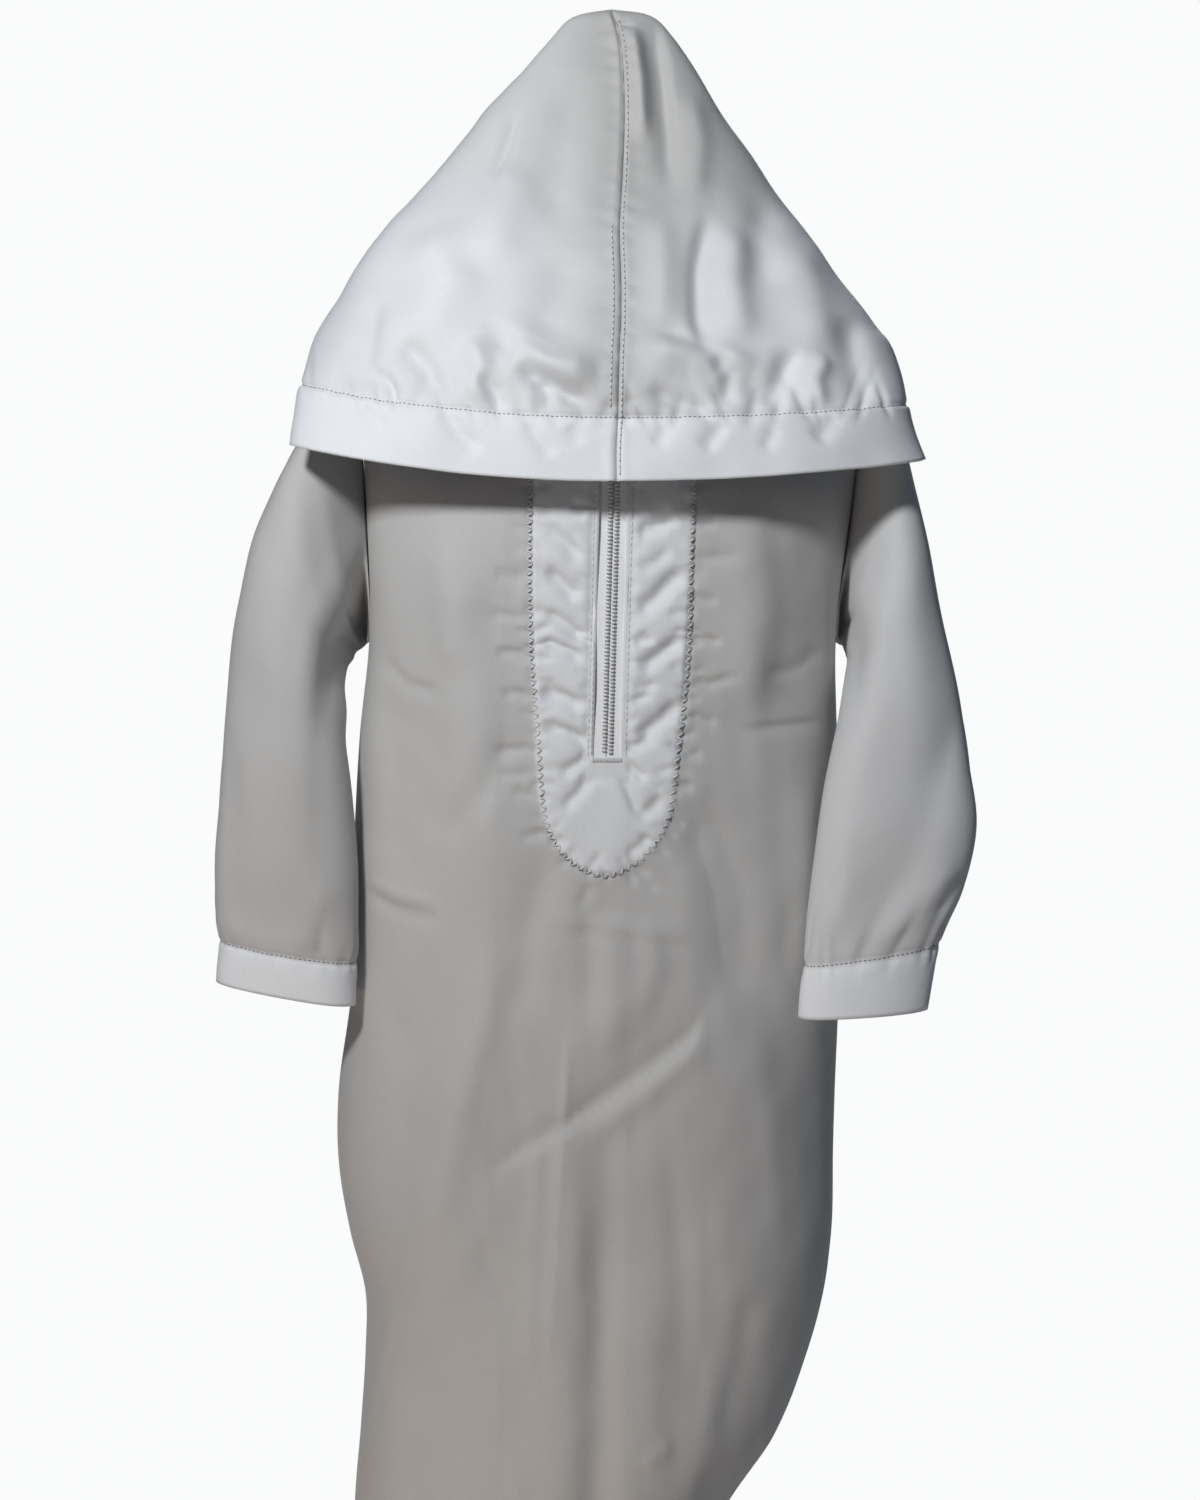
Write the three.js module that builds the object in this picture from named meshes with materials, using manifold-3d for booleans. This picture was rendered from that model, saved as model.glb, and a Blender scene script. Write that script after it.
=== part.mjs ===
// A toddler's hooded thobe that hangs from the peak of its hood, filled out and hollow.
// Millimetres, +Z up, the front faces -Y, +X is the right-hand side as one looks at the front,
// and the origin is the outside of the hood's peak.
// Each piece of cloth is a wall built on a grid of points of its outer face, one ply thick.
import * as THREE from "three";
import { mergeVertices } from "three/addons/utils/BufferGeometryUtils.js";
import Module from "manifold-3d";

// Driving dimensions.
const PLY = 1.2; // thickness of one ply of cloth
const GAP = 0.3; // between two pieces at a seam, and between two plies
const ROUNDNESS = 2.3; // exponent of the rings: 2 is an ellipse, more is squarer
const NECK = { half: 52, mid_y: -4, front: 46, back: 44, side_z: -162, front_drop: 22, back_rise: 5 };
const ARMHOLE = { tip_z: -184, under_z: -304, tip_x: 123, scoop: 2, steps: 8 };
const CHEST_Z = -240; // from here down the front and back stand out fully
const HEM_Z = -800;
const SLIT = { top_x: 2, foot_x: -2.5, half: 6.5, foot_z: -355.5 };
const PLACKET = { half: 38.5, low_half: 33, low_z: -366, foot_z: -411 };
const HEM_DEPTH = { skirt: 25, cuff: 21 };
const ZIP = { tape: 11, chain_half: 3, chain_proud: 0.7, centre_gap: 0.5 };
const SLIDER = { z: -190, width: 9.6, length: 10, thick: 3.2 };
const BAIL = { width: 2.4, length: 7.4, height: 3.4, bar: 1.1 };
const PULL = { width: 6.4, length: 17, thick: 1.2, eye: 3.2, lip: 1.3 };
const TACK = { width: 14, height: 2, thick: 1.2 };

// A table is a list of rows with named columns, from the top of the piece down.
function table(columns, rows) {
  return rows.map((row) => Object.fromEntries(row.map((value, i) => [columns[i], value])));
}

// The body: the outline's left and right edge, and how far the front and the back stand out.
const BODY = table(
  ["z", "left", "right", "front", "back"],
  [
    [-184, -123, 123, 56, 46],
    [-240, -120, 117, 57, 50],
    [-304, -119, 110, 58, 54],
    [-350, -124, 111, 59, 57],
    [-400, -127, 112.5, 61, 60],
    [-480, -129.5, 113, 63, 64],
    [-533, -136.5, 111.5, 65, 68],
    [-560, -137, 111, 66, 70],
    [-600, -131, 110.5, 68, 74],
    [-630, -124, 107, 70, 79],
    [-665, -124, 97.5, 73, 86],
    [-700, -126.5, 84, 77, 93],
    [-742, -130, 57, 81, 101],
    [-770, -130, 50, 82, 104],
    [-800, -131, 48, 83, 105],
  ],
);

// Soft folds pressed into the body: a line from its top to its foot, its half-width and its height.
// A positive height is a ridge, a negative one a trough; side says which panel it is on.
const FOLDS = table(
  ["side", "top_x", "top_z", "foot_x", "foot_z", "half", "height"],
  [
    ["front", -55, -430, -95, -640, 20, 4],
    ["front", -18, -500, -28, -800, 13, 3],
    ["front", -2, -500, -8, -800, 9, -3],
    ["front", 48, -460, 70, -640, 22, 3.5],
    ["front", -84, -610, -110, -800, 12, -4],
    ["front", 20, -600, 5, -800, 20, 4],
    ["back", -60, -300, -75, -800, 24, 5],
    ["back", 8, -260, 0, -800, 22, -5],
    ["back", 62, -320, 50, -800, 22, 5],
  ],
);

// A sleeve: rings from the armhole to the cuff, each with its outer and its inner end, the height of
// the middle in Y, its half-depth, and how far its front ridge lies towards the body.
const SLEEVE_COLUMNS = ["outer_x", "outer_z", "inner_x", "inner_z", "mid_y", "depth", "ridge"];
const SLEEVES = {
  left: table(SLEEVE_COLUMNS, [
    [-138, -190, -122.5, -307, -6, 20, 0.1],
    [-149, -203, -125.5, -309.5, -12, 25, 0.12],
    [-161, -225, -128.5, -313, -16, 28, 0.13],
    [-172, -250, -130.5, -318, -20, 29, 0.13],
    [-179.5, -282, -130.5, -327, -24, 28, 0.12],
    [-185, -318, -129, -342, -27, 26, 0.1],
    [-188, -358, -127, -364, -30, 24, 0.08],
    [-192, -402, -123.5, -406, -32, 22, 0.06],
    [-192.5, -432, -122.5, -438, -33, 20, 0.05],
    [-191, -447, -123.5, -458, -34, 19, 0.04],
    [-192, -467, -124, -479, -34, 18, 0.04],
  ]),
  right: table(SLEEVE_COLUMNS, [
    [134, -192, 112.5, -305.5, -6, 20, 0.1],
    [140.5, -206, 114.5, -307, -13, 24, 0.12],
    [146, -228, 115.5, -309, -20, 27, 0.13],
    [152, -256, 115.5, -313, -27, 28, 0.13],
    [158, -290, 113.5, -321, -33, 26, 0.12],
    [166, -328, 109, -338, -40, 23, 0.1],
    [171, -361, 103, -366, -45, 20, 0.08],
    [173.4, -390, 98, -397, -49, 19, 0.06],
    [168, -420, 94, -428, -52, 17, 0.05],
    [157, -446, 91, -456, -53, 16, 0.04],
    [151, -477, 90, -481, -54, 15, 0.04],
  ]),
};

// The hood: each section runs from the centre front seam to the fold at the side and back to its end.
// The end is back_y on the centre back seam, or turn degrees round the neck from the middle of the back,
// and the cloth behind the fold sags towards the shoulder.
const HOOD = table(
  ["front_z", "seam_x", "front_y", "left_x", "left_z", "right_x", "right_z", "fold_y", "back_y", "turn", "wrap", "sag"],
  [
    [-3.5, 1, -4.5, -17.7, -3.2, 19, -3.2, 0, 5, 0, 1, 0],
    [-12, 3.5, -8, -28, -12, 28.5, -12, 0, 9, 0, 1, 0],
    [-29, 5.5, -14, -43, -29, 40, -29, -1, 14, 0, 1, 0],
    [-54, 6, -23, -64, -53, 56.5, -54, -3, 20, 0, 1, 0],
    [-82, 5, -33, -87.7, -81, 76.3, -82, -5, 26, 0, 1, 0],
    [-107, 3.5, -46, -109.5, -105, 93, -106, -6, 31, 0, 1, 0],
    [-133, 4.2, -58, -129, -132.5, 112.5, -132, -9, 36, 0, 1, 2],
    [-153, 4, -67, -141.5, -151, 126.7, -151, -13, 40, 0, 1, 8],
    [-164, 3.4, -71, -145, -160, 133.5, -160, -18, 40, 45, 0.7, 8],
    [-178, 3, -75.5, -146, -169, 137, -174, -26, 40, 90, 0.4, 5],
    [-196, 2.6, -79, -146.7, -180.3, 139.7, -189.7, -36, 40, 128, 0.15, 0],
    [-211, 1.9, -81.5, -149, -194.5, 143.3, -202.5, -43, 40, 152, 0, 0],
    [-225.3, 1.9, -83, -151.8, -208.6, 147.6, -215.2, -48, 40, 172, 0, 0],
  ],
);
const HOOD_HEM_ROW = 11; // the hem's stitching line, counted with the peak as row 0
const HOOD_GRID = { front: 8, back: 7 };
const HOOD_REAR = { bulge: 6, clear: 0.8 };

const clamp = THREE.MathUtils.clamp;
const lerp = THREE.MathUtils.lerp;
const quarter = (t) => (t * Math.PI) / 2;

// A row of a table at any value of one of its columns, by straight lines between its rows.
function lookUp(rows, key, value) {
  let i = 0;
  while (i < rows.length - 2 && value < rows[i + 1][key]) i += 1;
  const t = clamp((value - rows[i][key]) / (rows[i + 1][key] - rows[i][key]), 0, 1);
  const mixed = {};
  for (const name of Object.keys(rows[i])) mixed[name] = lerp(rows[i][name], rows[i + 1][name], t);
  return mixed;
}

// Closed walls -------------------------------------------------------------------------------------

// A ply that is turned in behind the outer one.
const INNER_PLY = { outer: -PLY - GAP, inner: -2 * PLY - GAP };

// Vertex normals of a grid of points; a grid that wraps joins its last column to its first.
function gridNormals(points, wraps) {
  const rows = points.length;
  const columns = points[0].length;
  const normals = points.map((row) => row.map(() => new THREE.Vector3()));
  const across = new THREE.Vector3();
  const down = new THREE.Vector3();
  for (let i = 0; i < rows - 1; i += 1) {
    for (let j = 0; j < (wraps ? columns : columns - 1); j += 1) {
      const k = (j + 1) % columns;
      across.subVectors(points[i + 1][k], points[i][j]);
      down.subVectors(points[i + 1][j], points[i][k]);
      const face = new THREE.Vector3().crossVectors(down, across);
      for (const [r, c] of [[i, j], [i, k], [i + 1, j], [i + 1, k]]) normals[r][c].add(face);
    }
  }
  return normals.map((row) => row.map((n) => n.normalize()));
}

// A closed wall between two offsets from a grid, over the cells that keep(row, column) allows.
// Rows run down and columns run left to right as one looks at the outer face.
function wall(points, { outer = 0, inner = -PLY, wraps = false, keep = () => true, normals = null } = {}) {
  const rows = points.length;
  const columns = points[0].length;
  const cells = wraps ? columns : columns - 1;
  const n = normals ?? gridNormals(points, wraps);
  const at = (i, j, offset) => points[i][j].clone().addScaledVector(n[i][j], offset);
  const kept = (i, j) => {
    const column = wraps ? (j + cells) % cells : j;
    return i >= 0 && i < rows - 1 && column >= 0 && column < cells && keep(i, column);
  };
  const positions = [];
  const quad = (a, b, c, d) => {
    for (const p of [a, b, c, a, c, d]) positions.push(p.x, p.y, p.z);
  };
  for (let i = 0; i < rows - 1; i += 1) {
    for (let j = 0; j < cells; j += 1) {
      if (!kept(i, j)) continue;
      const k = (j + 1) % columns;
      const corners = [[i, j], [i + 1, j], [i + 1, k], [i, k]];
      const front = corners.map(([r, c]) => at(r, c, outer));
      const rear = corners.map(([r, c]) => at(r, c, inner));
      quad(front[0], front[1], front[2], front[3]);
      quad(rear[0], rear[3], rear[2], rear[1]);
      const open = [!kept(i, j - 1), !kept(i + 1, j), !kept(i, j + 1), !kept(i - 1, j)];
      open.forEach((isOpen, side) => {
        const next = (side + 1) % 4;
        if (isOpen) quad(front[next], front[side], rear[side], rear[next]);
      });
    }
  }
  return closed(positions);
}

// Triangles as a geometry with shared vertices, without those that have no area.
function closed(positions) {
  const raw = new THREE.BufferGeometry();
  raw.setAttribute("position", new THREE.Float32BufferAttribute(positions, 3));
  const merged = mergeVertices(raw, 2e-3);
  const index = merged.index.array;
  const kept = [];
  for (let i = 0; i < index.length; i += 3) {
    const [a, b, c] = [index[i], index[i + 1], index[i + 2]];
    if (a !== b && b !== c && c !== a) kept.push(a, b, c);
  }
  merged.setIndex(kept);
  return merged;
}

// The body's surface ---------------------------------------------------------------------------------

const shoulderZ = (x) => {
  const t = clamp((Math.abs(x) - NECK.half) / (ARMHOLE.tip_x - NECK.half), 0, 1);
  return lerp(NECK.side_z, ARMHOLE.tip_z, t);
};
const shoulderY = (x) => {
  const t = clamp((Math.abs(x) - NECK.half) / (ARMHOLE.tip_x - NECK.half), 0, 1);
  return lerp(NECK.mid_y, 0, t);
};

// The neckline, turn radians round from the middle of the back.
function neckPoint(turn, side) {
  const c = Math.cos(turn);
  const y = NECK.mid_y + (c > 0 ? NECK.back : NECK.front) * c;
  const z = NECK.side_z + NECK.back_rise * Math.max(0, c) - NECK.front_drop * Math.max(0, -c) ** 1.3;
  return new THREE.Vector3(side * NECK.half * Math.sin(turn), y, z);
}

// The top edge of the front or back panel: the neckline in the middle, then the shoulder seam.
function topEdge(x, facing) {
  if (Math.abs(x) >= NECK.half) return new THREE.Vector3(x, shoulderY(x), shoulderZ(x));
  const bend = Math.asin(clamp(Math.abs(x) / NECK.half, 0, 1));
  const edge = neckPoint(facing < 0 ? Math.PI - bend : bend, Math.sign(x) || 1);
  return edge.setX(x);
}

// How far the cloth stands out in Y at a place below the shoulders; facing is -1 in front, 1 behind.
function girthY(x, z, facing) {
  const ring = lookUp(BODY, "z", z);
  const half = (ring.right - ring.left) / 2;
  const across = clamp(Math.abs(x - (ring.left + ring.right) / 2) / half, 0, 1);
  const out = (1 - across ** ROUNDNESS) ** (1 / ROUNDNESS);
  return facing * (facing < 0 ? ring.front : ring.back) * out;
}

// The height of the pressed folds at a place on the front or the back.
function foldHeight(x, z, facing) {
  const ring = lookUp(BODY, "z", z);
  const across = (2 * x - ring.left - ring.right) / (ring.right - ring.left);
  const inside = Math.max(0, 1 - across ** 4); // the folds die out at the side seams
  let height = 0;
  for (const fold of FOLDS) {
    if ((fold.side === "front") !== facing < 0) continue;
    const along = (fold.top_z - z) / (fold.top_z - fold.foot_z);
    if (along < 0 || along > 1) continue;
    const away = (x - lerp(fold.top_x, fold.foot_x, along)) / fold.half;
    const fadeIn = Math.min(1, along * 4);
    height += fold.height * fadeIn * Math.exp(-away * away);
  }
  return height * inside;
}

// A point of the body: top_x is where its column starts at the top edge, x and z where it is now.
function bodyPoint(topX, x, z, facing) {
  const top = topEdge(topX, facing);
  const drop = clamp((top.z - z) / (top.z - CHEST_Z), 0, 1);
  const full = girthY(x, z, facing) + facing * foldHeight(x, z, facing);
  return new THREE.Vector3(x, lerp(top.y, full, Math.sin(quarter(drop))), z);
}

// The edge of a panel's side at a row: round the armhole first, then down the side seam.
function sideEdge(side, drop, z) {
  const ring = lookUp(BODY, "z", z);
  const scoop = ARMHOLE.scoop * Math.sin(Math.PI * drop);
  return side < 0 ? ring.left + scoop : ring.right - scoop;
}

const ROW_HEIGHTS = { zip: [-329, SLIT.foot_z, -383], skirt: 14 };

// The rows of a panel: a share of the way down the armhole, then plain heights.
function bodyRows() {
  const rows = [];
  for (let k = 0; k <= ARMHOLE.steps; k += 1) {
    rows.push({ share: (1 - Math.cos((Math.PI * k) / ARMHOLE.steps)) / 2 });
  }
  for (const z of ROW_HEIGHTS.zip) rows.push({ share: 1, z });
  const start = ROW_HEIGHTS.zip.at(-1);
  for (let k = 1; k <= ROW_HEIGHTS.skirt; k += 1) {
    rows.push({ share: 1, z: lerp(start, HEM_Z, k / ROW_HEIGHTS.skirt) });
  }
  return rows;
}

const slitCentre = (z) => {
  const t = (NECK.side_z - NECK.front_drop - z) / (NECK.side_z - NECK.front_drop - SLIT.foot_z);
  return lerp(SLIT.top_x, SLIT.foot_x, clamp(t, 0, 1));
};

// One row of a panel, from its left edge to its right. Columns are shares of the half-width, and the
// two beside the slit keep their distance from its centre instead.
function bodyRow(row, facing, shares, middle) {
  const edgeZ = row.z ?? lerp(ARMHOLE.tip_z, ARMHOLE.under_z, row.share);
  const points = [];
  const columns = [...shares.map((s) => [-1, s]).reverse(), ...shares.map((s) => [1, s])];
  for (const [side, share] of columns) {
    const topX = side * Math.max(share * ARMHOLE.tip_x, middle);
    const z = row.z ?? lerp(topEdge(topX, facing).z, ARMHOLE.under_z, row.share);
    const edge = sideEdge(side, row.z === undefined ? row.share : 0, edgeZ);
    const core = slitCentre(z) + side * middle;
    const x = lerp(core, edge, (share * ARMHOLE.tip_x - middle) / (ARMHOLE.tip_x - middle));
    points.push(bodyPoint(topX, x, z, facing));
  }
  return points;
}

// Column shares: evenly round the ring, with one column at the corner of the neck.
function columnShares(middle, neckSteps, sideSteps) {
  const corner = Math.asin(NECK.half / ARMHOLE.tip_x);
  const first = Math.asin(middle / ARMHOLE.tip_x);
  const shares = [];
  for (let k = 0; k < neckSteps; k += 1) shares.push(Math.sin(lerp(first, corner, k / neckSteps)));
  for (let k = 0; k <= sideSteps; k += 1) {
    shares.push(Math.sin(lerp(corner, Math.PI / 2, k / sideSteps)));
  }
  return shares;
}

const FRONT_SHARES = columnShares(SLIT.half, 3, 7);
const BACK_SHARES = columnShares(SLIT.half, 2, 7);
const ROWS = bodyRows();
const frontGrid = ROWS.map((row) => bodyRow(row, -1, FRONT_SHARES, SLIT.half));
// The back's columns run the other way, so that its outer face looks backwards.
const backGrid = ROWS.map((row) => bodyRow(row, 1, BACK_SHARES, SLIT.half).reverse());
const SLIT_COLUMN = FRONT_SHARES.length - 1;
const SLIT_ROWS = ARMHOLE.steps + 2;

// Both panels end on the same line at the side and shoulder seams, so each steps back from it.
const SEAM_STEP = { side: 0.5, shoulder: 1.4 };
function openSeams(grid, facing) {
  return grid.map((row, i) =>
    row.map((point, j) => {
      const onSide = j === 0 || j === row.length - 1;
      const onShoulder = (i === 0 && Math.abs(point.x) >= NECK.half - 2) || (i === 1 && onSide);
      const back = onShoulder ? SEAM_STEP.shoulder : onSide ? SEAM_STEP.side : 0;
      return point.clone().add(new THREE.Vector3(0, facing * back, 0));
    }),
  );
}

const bodyFront = () =>
  wall(openSeams(frontGrid, -1), { keep: (i, j) => !(j === SLIT_COLUMN && i < SLIT_ROWS) });
const bodyBack = () => wall(openSeams(backGrid, 1));

// The turned-in ply at the foot of a panel, made from the panel's last two rows of points and short of
// the side seams.
function skirtHem(panel) {
  const normals = gridNormals(panel, false);
  const up = HEM_DEPTH.skirt / (panel.at(-2)[0].z - HEM_Z);
  const band = (rows) => {
    const [above, last] = rows.slice(-2).map((row) => row.slice(1, -1));
    return [last.map((v, j) => v.clone().lerp(above[j], up)), last];
  };
  return wall(band(panel), { ...INNER_PLY, normals: band(normals) });
}

// What lies on or behind the front: strips of its own surface between two edges, moved out or in.
function frontStrip(heights, leftEdge, rightEdge, steps, outer, inner) {
  const grid = heights.map((z) => {
    const row = [];
    for (let k = 0; k <= steps; k += 1) {
      const x = lerp(leftEdge(z), rightEdge(z), k / steps);
      row.push(bodyPoint(x, x, Math.min(z, topEdge(x, -1).z), -1));
    }
    return row;
  });
  return wall(grid, { outer, inner });
}

// Heights along the zip, from the neckline to just past the foot of the slit.
const ZIP_STEPS = 9;
const ZIP_TOP = NECK.side_z - NECK.front_drop - 1.5;
const ZIP_FOOT = SLIT.foot_z - 8;
const zipHeights = Array.from({ length: ZIP_STEPS + 1 }, (_, k) => lerp(ZIP_TOP, ZIP_FOOT, k / ZIP_STEPS));
const TAPE_FACE = -PLY - 2.5 * GAP; // clear of the slit's edges, which are flat between their points
const TAPE_BACK = TAPE_FACE - 1;

function zipTape(side) {
  const near = (z) => slitCentre(z) + (side * ZIP.centre_gap) / 2;
  const far = (z) => slitCentre(z) + side * ZIP.tape;
  return frontStrip(zipHeights, side < 0 ? far : near, side < 0 ? near : far, 3, TAPE_FACE, TAPE_BACK);
}

function zipChain() {
  const heights = zipHeights.map((z) => Math.max(z, SLIT.foot_z + 1.2));
  const steps = heights.filter((z, i) => i === 0 || z < heights[i - 1]);
  steps[0] = SLIDER.z - SLIDER.length / 2 - 0.6;
  const left = (z) => slitCentre(z) - ZIP.chain_half;
  const right = (z) => slitCentre(z) + ZIP.chain_half;
  return frontStrip(steps, left, right, 4, ZIP.chain_proud, TAPE_FACE + GAP);
}

// The placket ply: straight sides, then a U, behind the tapes, with the same slit as the front.
function placket() {
  const arc = [0, 0.3, 0.55, 0.75, 0.9, 0.98];
  const straight = [ZIP_TOP - 2, -210, -240, -270, -300, -329, SLIT.foot_z];
  const bottom = arc.map((t) => lerp(PLACKET.low_z, PLACKET.foot_z, t));
  const halfAt = (z) => {
    const straightShare = clamp((ZIP_TOP - z) / (ZIP_TOP - PLACKET.low_z), 0, 1);
    const t = clamp((PLACKET.low_z - z) / (PLACKET.low_z - PLACKET.foot_z), 0, 1);
    return lerp(PLACKET.half, PLACKET.low_half, straightShare ** 2) * Math.sqrt(1 - t * t);
  };
  const outside = TAPE_BACK - 2 * GAP;
  const grid = [...straight, ...bottom].map((z) => {
    const half = halfAt(z);
    const slit = Math.min(SLIT.half, half * 0.5);
    const offsets = [-half, -(half + slit) / 2, -slit, slit, (half + slit) / 2, half];
    return offsets.map((offset) => {
      const x = slitCentre(z) + offset;
      return bodyPoint(x, x, Math.min(z, topEdge(x, -1).z - 2), -1);
    });
  });
  const keep = (i, j) => !(j === 2 && i < straight.length - 1);
  return wall(grid, { outer: outside, inner: outside - 1, keep });
}

// The sleeves ------------------------------------------------------------------------------------------

const SLEEVE_COLUMNS_ROUND = 2 * ARMHOLE.steps;

// The armhole as a ring: down its front edge, then up its back edge, a gap outside the panels.
function armholeRing(side) {
  const column = (grid, atLeft) => grid.slice(0, ARMHOLE.steps + 1).map((row) => (atLeft ? row[0] : row.at(-1)));
  const front = column(frontGrid, side < 0);
  const back = column(backGrid, side > 0);
  const outward = new THREE.Vector3(side * (GAP + PLY), 0, 0);
  return [...front, ...back.slice(1, -1).reverse()].map((p) => p.clone().add(outward));
}

// One ring of the sleeve, from its outer end round the front to its inner end and back.
function sleeveRing(ring) {
  const points = [];
  for (let k = 0; k < SLEEVE_COLUMNS_ROUND; k += 1) {
    const turn = (2 * Math.PI * k) / SLEEVE_COLUMNS_ROUND;
    const c = Math.cos(turn);
    const s = Math.sin(turn);
    const squarer = (v) => Math.sign(v) * Math.abs(v) ** (2 / ROUNDNESS);
    const plain = (1 - squarer(c)) / 2;
    const share = plain + ring.ridge * Math.max(0, s) * Math.sin(Math.PI * plain);
    const x = lerp(ring.outer_x, ring.inner_x, share);
    const z = lerp(ring.outer_z, ring.inner_z, share);
    points.push(new THREE.Vector3(x, ring.mid_y - ring.depth * squarer(s), z));
  }
  return points;
}

function sleeveGrid(side) {
  const grid = [armholeRing(side), ...SLEEVES[side < 0 ? "left" : "right"].map(sleeveRing)];
  // Down the front is anticlockwise on the left sleeve seen from above, and clockwise on the right.
  return side < 0 ? grid : grid.map((row) => [...row].reverse());
}

const sleeve = (side) => wall(sleeveGrid(side), { wraps: true });
function cuffHem(side) {
  const grid = sleeveGrid(side).slice(-2);
  return wall(grid, { ...INNER_PLY, wraps: true });
}

// The hood ---------------------------------------------------------------------------------------------

// One section of a half of the hood, from the centre front seam round the fold to its end.
function hoodSection(row, side) {
  const name = side < 0 ? "left" : "right";
  const foldX = row[name + "_x"];
  const foldZ = row[name + "_z"];
  const points = [];
  for (let k = 0; k <= HOOD_GRID.front; k += 1) {
    const turn = quarter(k / HOOD_GRID.front);
    const across = Math.sin(turn) ** (2 / ROUNDNESS);
    const ahead = Math.cos(turn) ** (2 / ROUNDNESS);
    const x = lerp(row.seam_x + side * GAP * 0.5, foldX, across);
    points.push(new THREE.Vector3(x, lerp(row.fold_y, row.front_y, ahead), lerp(row.front_z, foldZ, across ** 2)));
  }
  const onNeck = neckPoint(THREE.MathUtils.degToRad(row.turn), side);
  onNeck.z += HOOD_REAR.clear + PLY * 0.5;
  const endY = row.turn > 0 ? onNeck.y : row.back_y;
  const endX = row.turn > 0 ? onNeck.x : row.seam_x * 0.5 + side * GAP * 0.5;
  const endZ = row.turn > 0 ? onNeck.z : Math.max(foldZ, NECK.side_z + NECK.back_rise + HOOD_REAR.clear);
  for (let k = 1; k <= HOOD_GRID.back; k += 1) {
    const t = k / HOOD_GRID.back;
    const turn = quarter(t);
    const late = 1 - Math.cos(turn);
    const y = row.fold_y + (endY - row.fold_y) * lerp(late, Math.sin(turn), row.wrap);
    const bulge = HOOD_REAR.bulge * (1 - row.wrap) * Math.sin(Math.PI * t);
    const z = lerp(foldZ, endZ, t) - row.sag * Math.sin(Math.PI * t);
    points.push(new THREE.Vector3(lerp(foldX, endX, late), y + bulge, z));
  }
  return points;
}

function hoodGrid(side) {
  const sections = HOOD.map((row) => hoodSection(row, side));
  const peak = sections[0].map(() => new THREE.Vector3(side * GAP * 0.5, 0, 0));
  const grid = [peak, ...sections];
  return side < 0 ? grid.map((row) => [...row].reverse()) : grid;
}

function hoodNormals(grid) {
  const normals = gridNormals(grid, false);
  normals[0] = normals[0].map(() => new THREE.Vector3(0, 0, 1));
  return normals;
}

function hoodHalf(side) {
  const grid = hoodGrid(side);
  return wall(grid, { normals: hoodNormals(grid) });
}

// The turned-in ply of the hood's hem, from the centre seam to just before the fold at the side.
function hoodHem(side) {
  const grid = hoodGrid(side);
  const normals = hoodNormals(grid);
  const front = (row) => (side < 0 ? row.slice(-HOOD_GRID.front) : row.slice(0, HOOD_GRID.front));
  const band = (rows) => rows.slice(HOOD_HEM_ROW).map(front);
  return wall(band(grid), { ...INNER_PLY, normals: band(normals) });
}

// The zip's hard pieces ----------------------------------------------------------------------------------

const library = await Module();
library.setup();

function solidOf(geometry) {
  const bare = geometry.index ? geometry.toNonIndexed() : geometry.clone();
  bare.deleteAttribute("normal");
  bare.deleteAttribute("uv");
  const merged = mergeVertices(bare, 1e-4);
  const triVerts = new Uint32Array(merged.index.array);
  return new library.Manifold(
    new library.Mesh({ numProp: 3, vertProperties: merged.attributes.position.array, triVerts }),
  );
}

function geometryOf(solid) {
  const mesh = solid.getMesh();
  const geometry = new THREE.BufferGeometry();
  geometry.setAttribute("position", new THREE.Float32BufferAttribute(mesh.vertProperties, 3));
  geometry.setIndex([...mesh.triVerts]);
  return geometry;
}

// A rectangle with rounded corners.
function roundedRectangle(width, height, radius, Kind = THREE.Shape) {
  const shape = new Kind();
  const [w, h] = [width / 2 - radius, height / 2 - radius];
  shape.moveTo(w + radius, -h);
  shape.lineTo(w + radius, h);
  shape.absarc(w, h, radius, 0, Math.PI / 2, false);
  shape.lineTo(-w, h + radius);
  shape.absarc(-w, h, radius, Math.PI / 2, Math.PI, false);
  shape.lineTo(-w - radius, -h);
  shape.absarc(-w, -h, radius, Math.PI, 1.5 * Math.PI, false);
  shape.lineTo(w, -h - radius);
  shape.absarc(w, -h, radius, 1.5 * Math.PI, 2 * Math.PI, false);
  return shape;
}

const extrude = (shape, depth, turned = 4) =>
  new THREE.ExtrudeGeometry(shape, { depth, bevelEnabled: false, curveSegments: turned });

const sliderX = slitCentre(SLIDER.z);
const frontY = bodyPoint(sliderX, sliderX, SLIDER.z, -1).y;
const sliderBackY = frontY - ZIP.chain_proud - GAP; // the slider rides in front of the tapes
const bailY = sliderBackY - SLIDER.thick;
const hingeY = bailY - (BAIL.height - BAIL.bar) / 2; // halfway between the slider and the bail's front
const hingeZ = SLIDER.z - 0.6;

// The slider's body, with a bail: an arch that the pull tab's eye hangs in.
function zipSlider() {
  const plate = extrude(roundedRectangle(SLIDER.width, SLIDER.length, 1.6), SLIDER.thick);
  plate.rotateX(Math.PI / 2);
  plate.translate(sliderX, sliderBackY, SLIDER.z);
  const arch = roundedRectangle(BAIL.height + 2, BAIL.length, 0.9);
  arch.holes.push(roundedRectangle(BAIL.height + 2 - 2 * BAIL.bar, BAIL.length - 2 * BAIL.bar, 0.5, THREE.Path));
  const bail = extrude(arch, BAIL.width);
  bail.rotateX(Math.PI / 2);
  bail.rotateZ(Math.PI / 2);
  bail.translate(sliderX - BAIL.width / 2, bailY - BAIL.height / 2 + 1, SLIDER.z);
  return geometryOf(solidOf(plate).add(solidOf(bail)));
}

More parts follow.
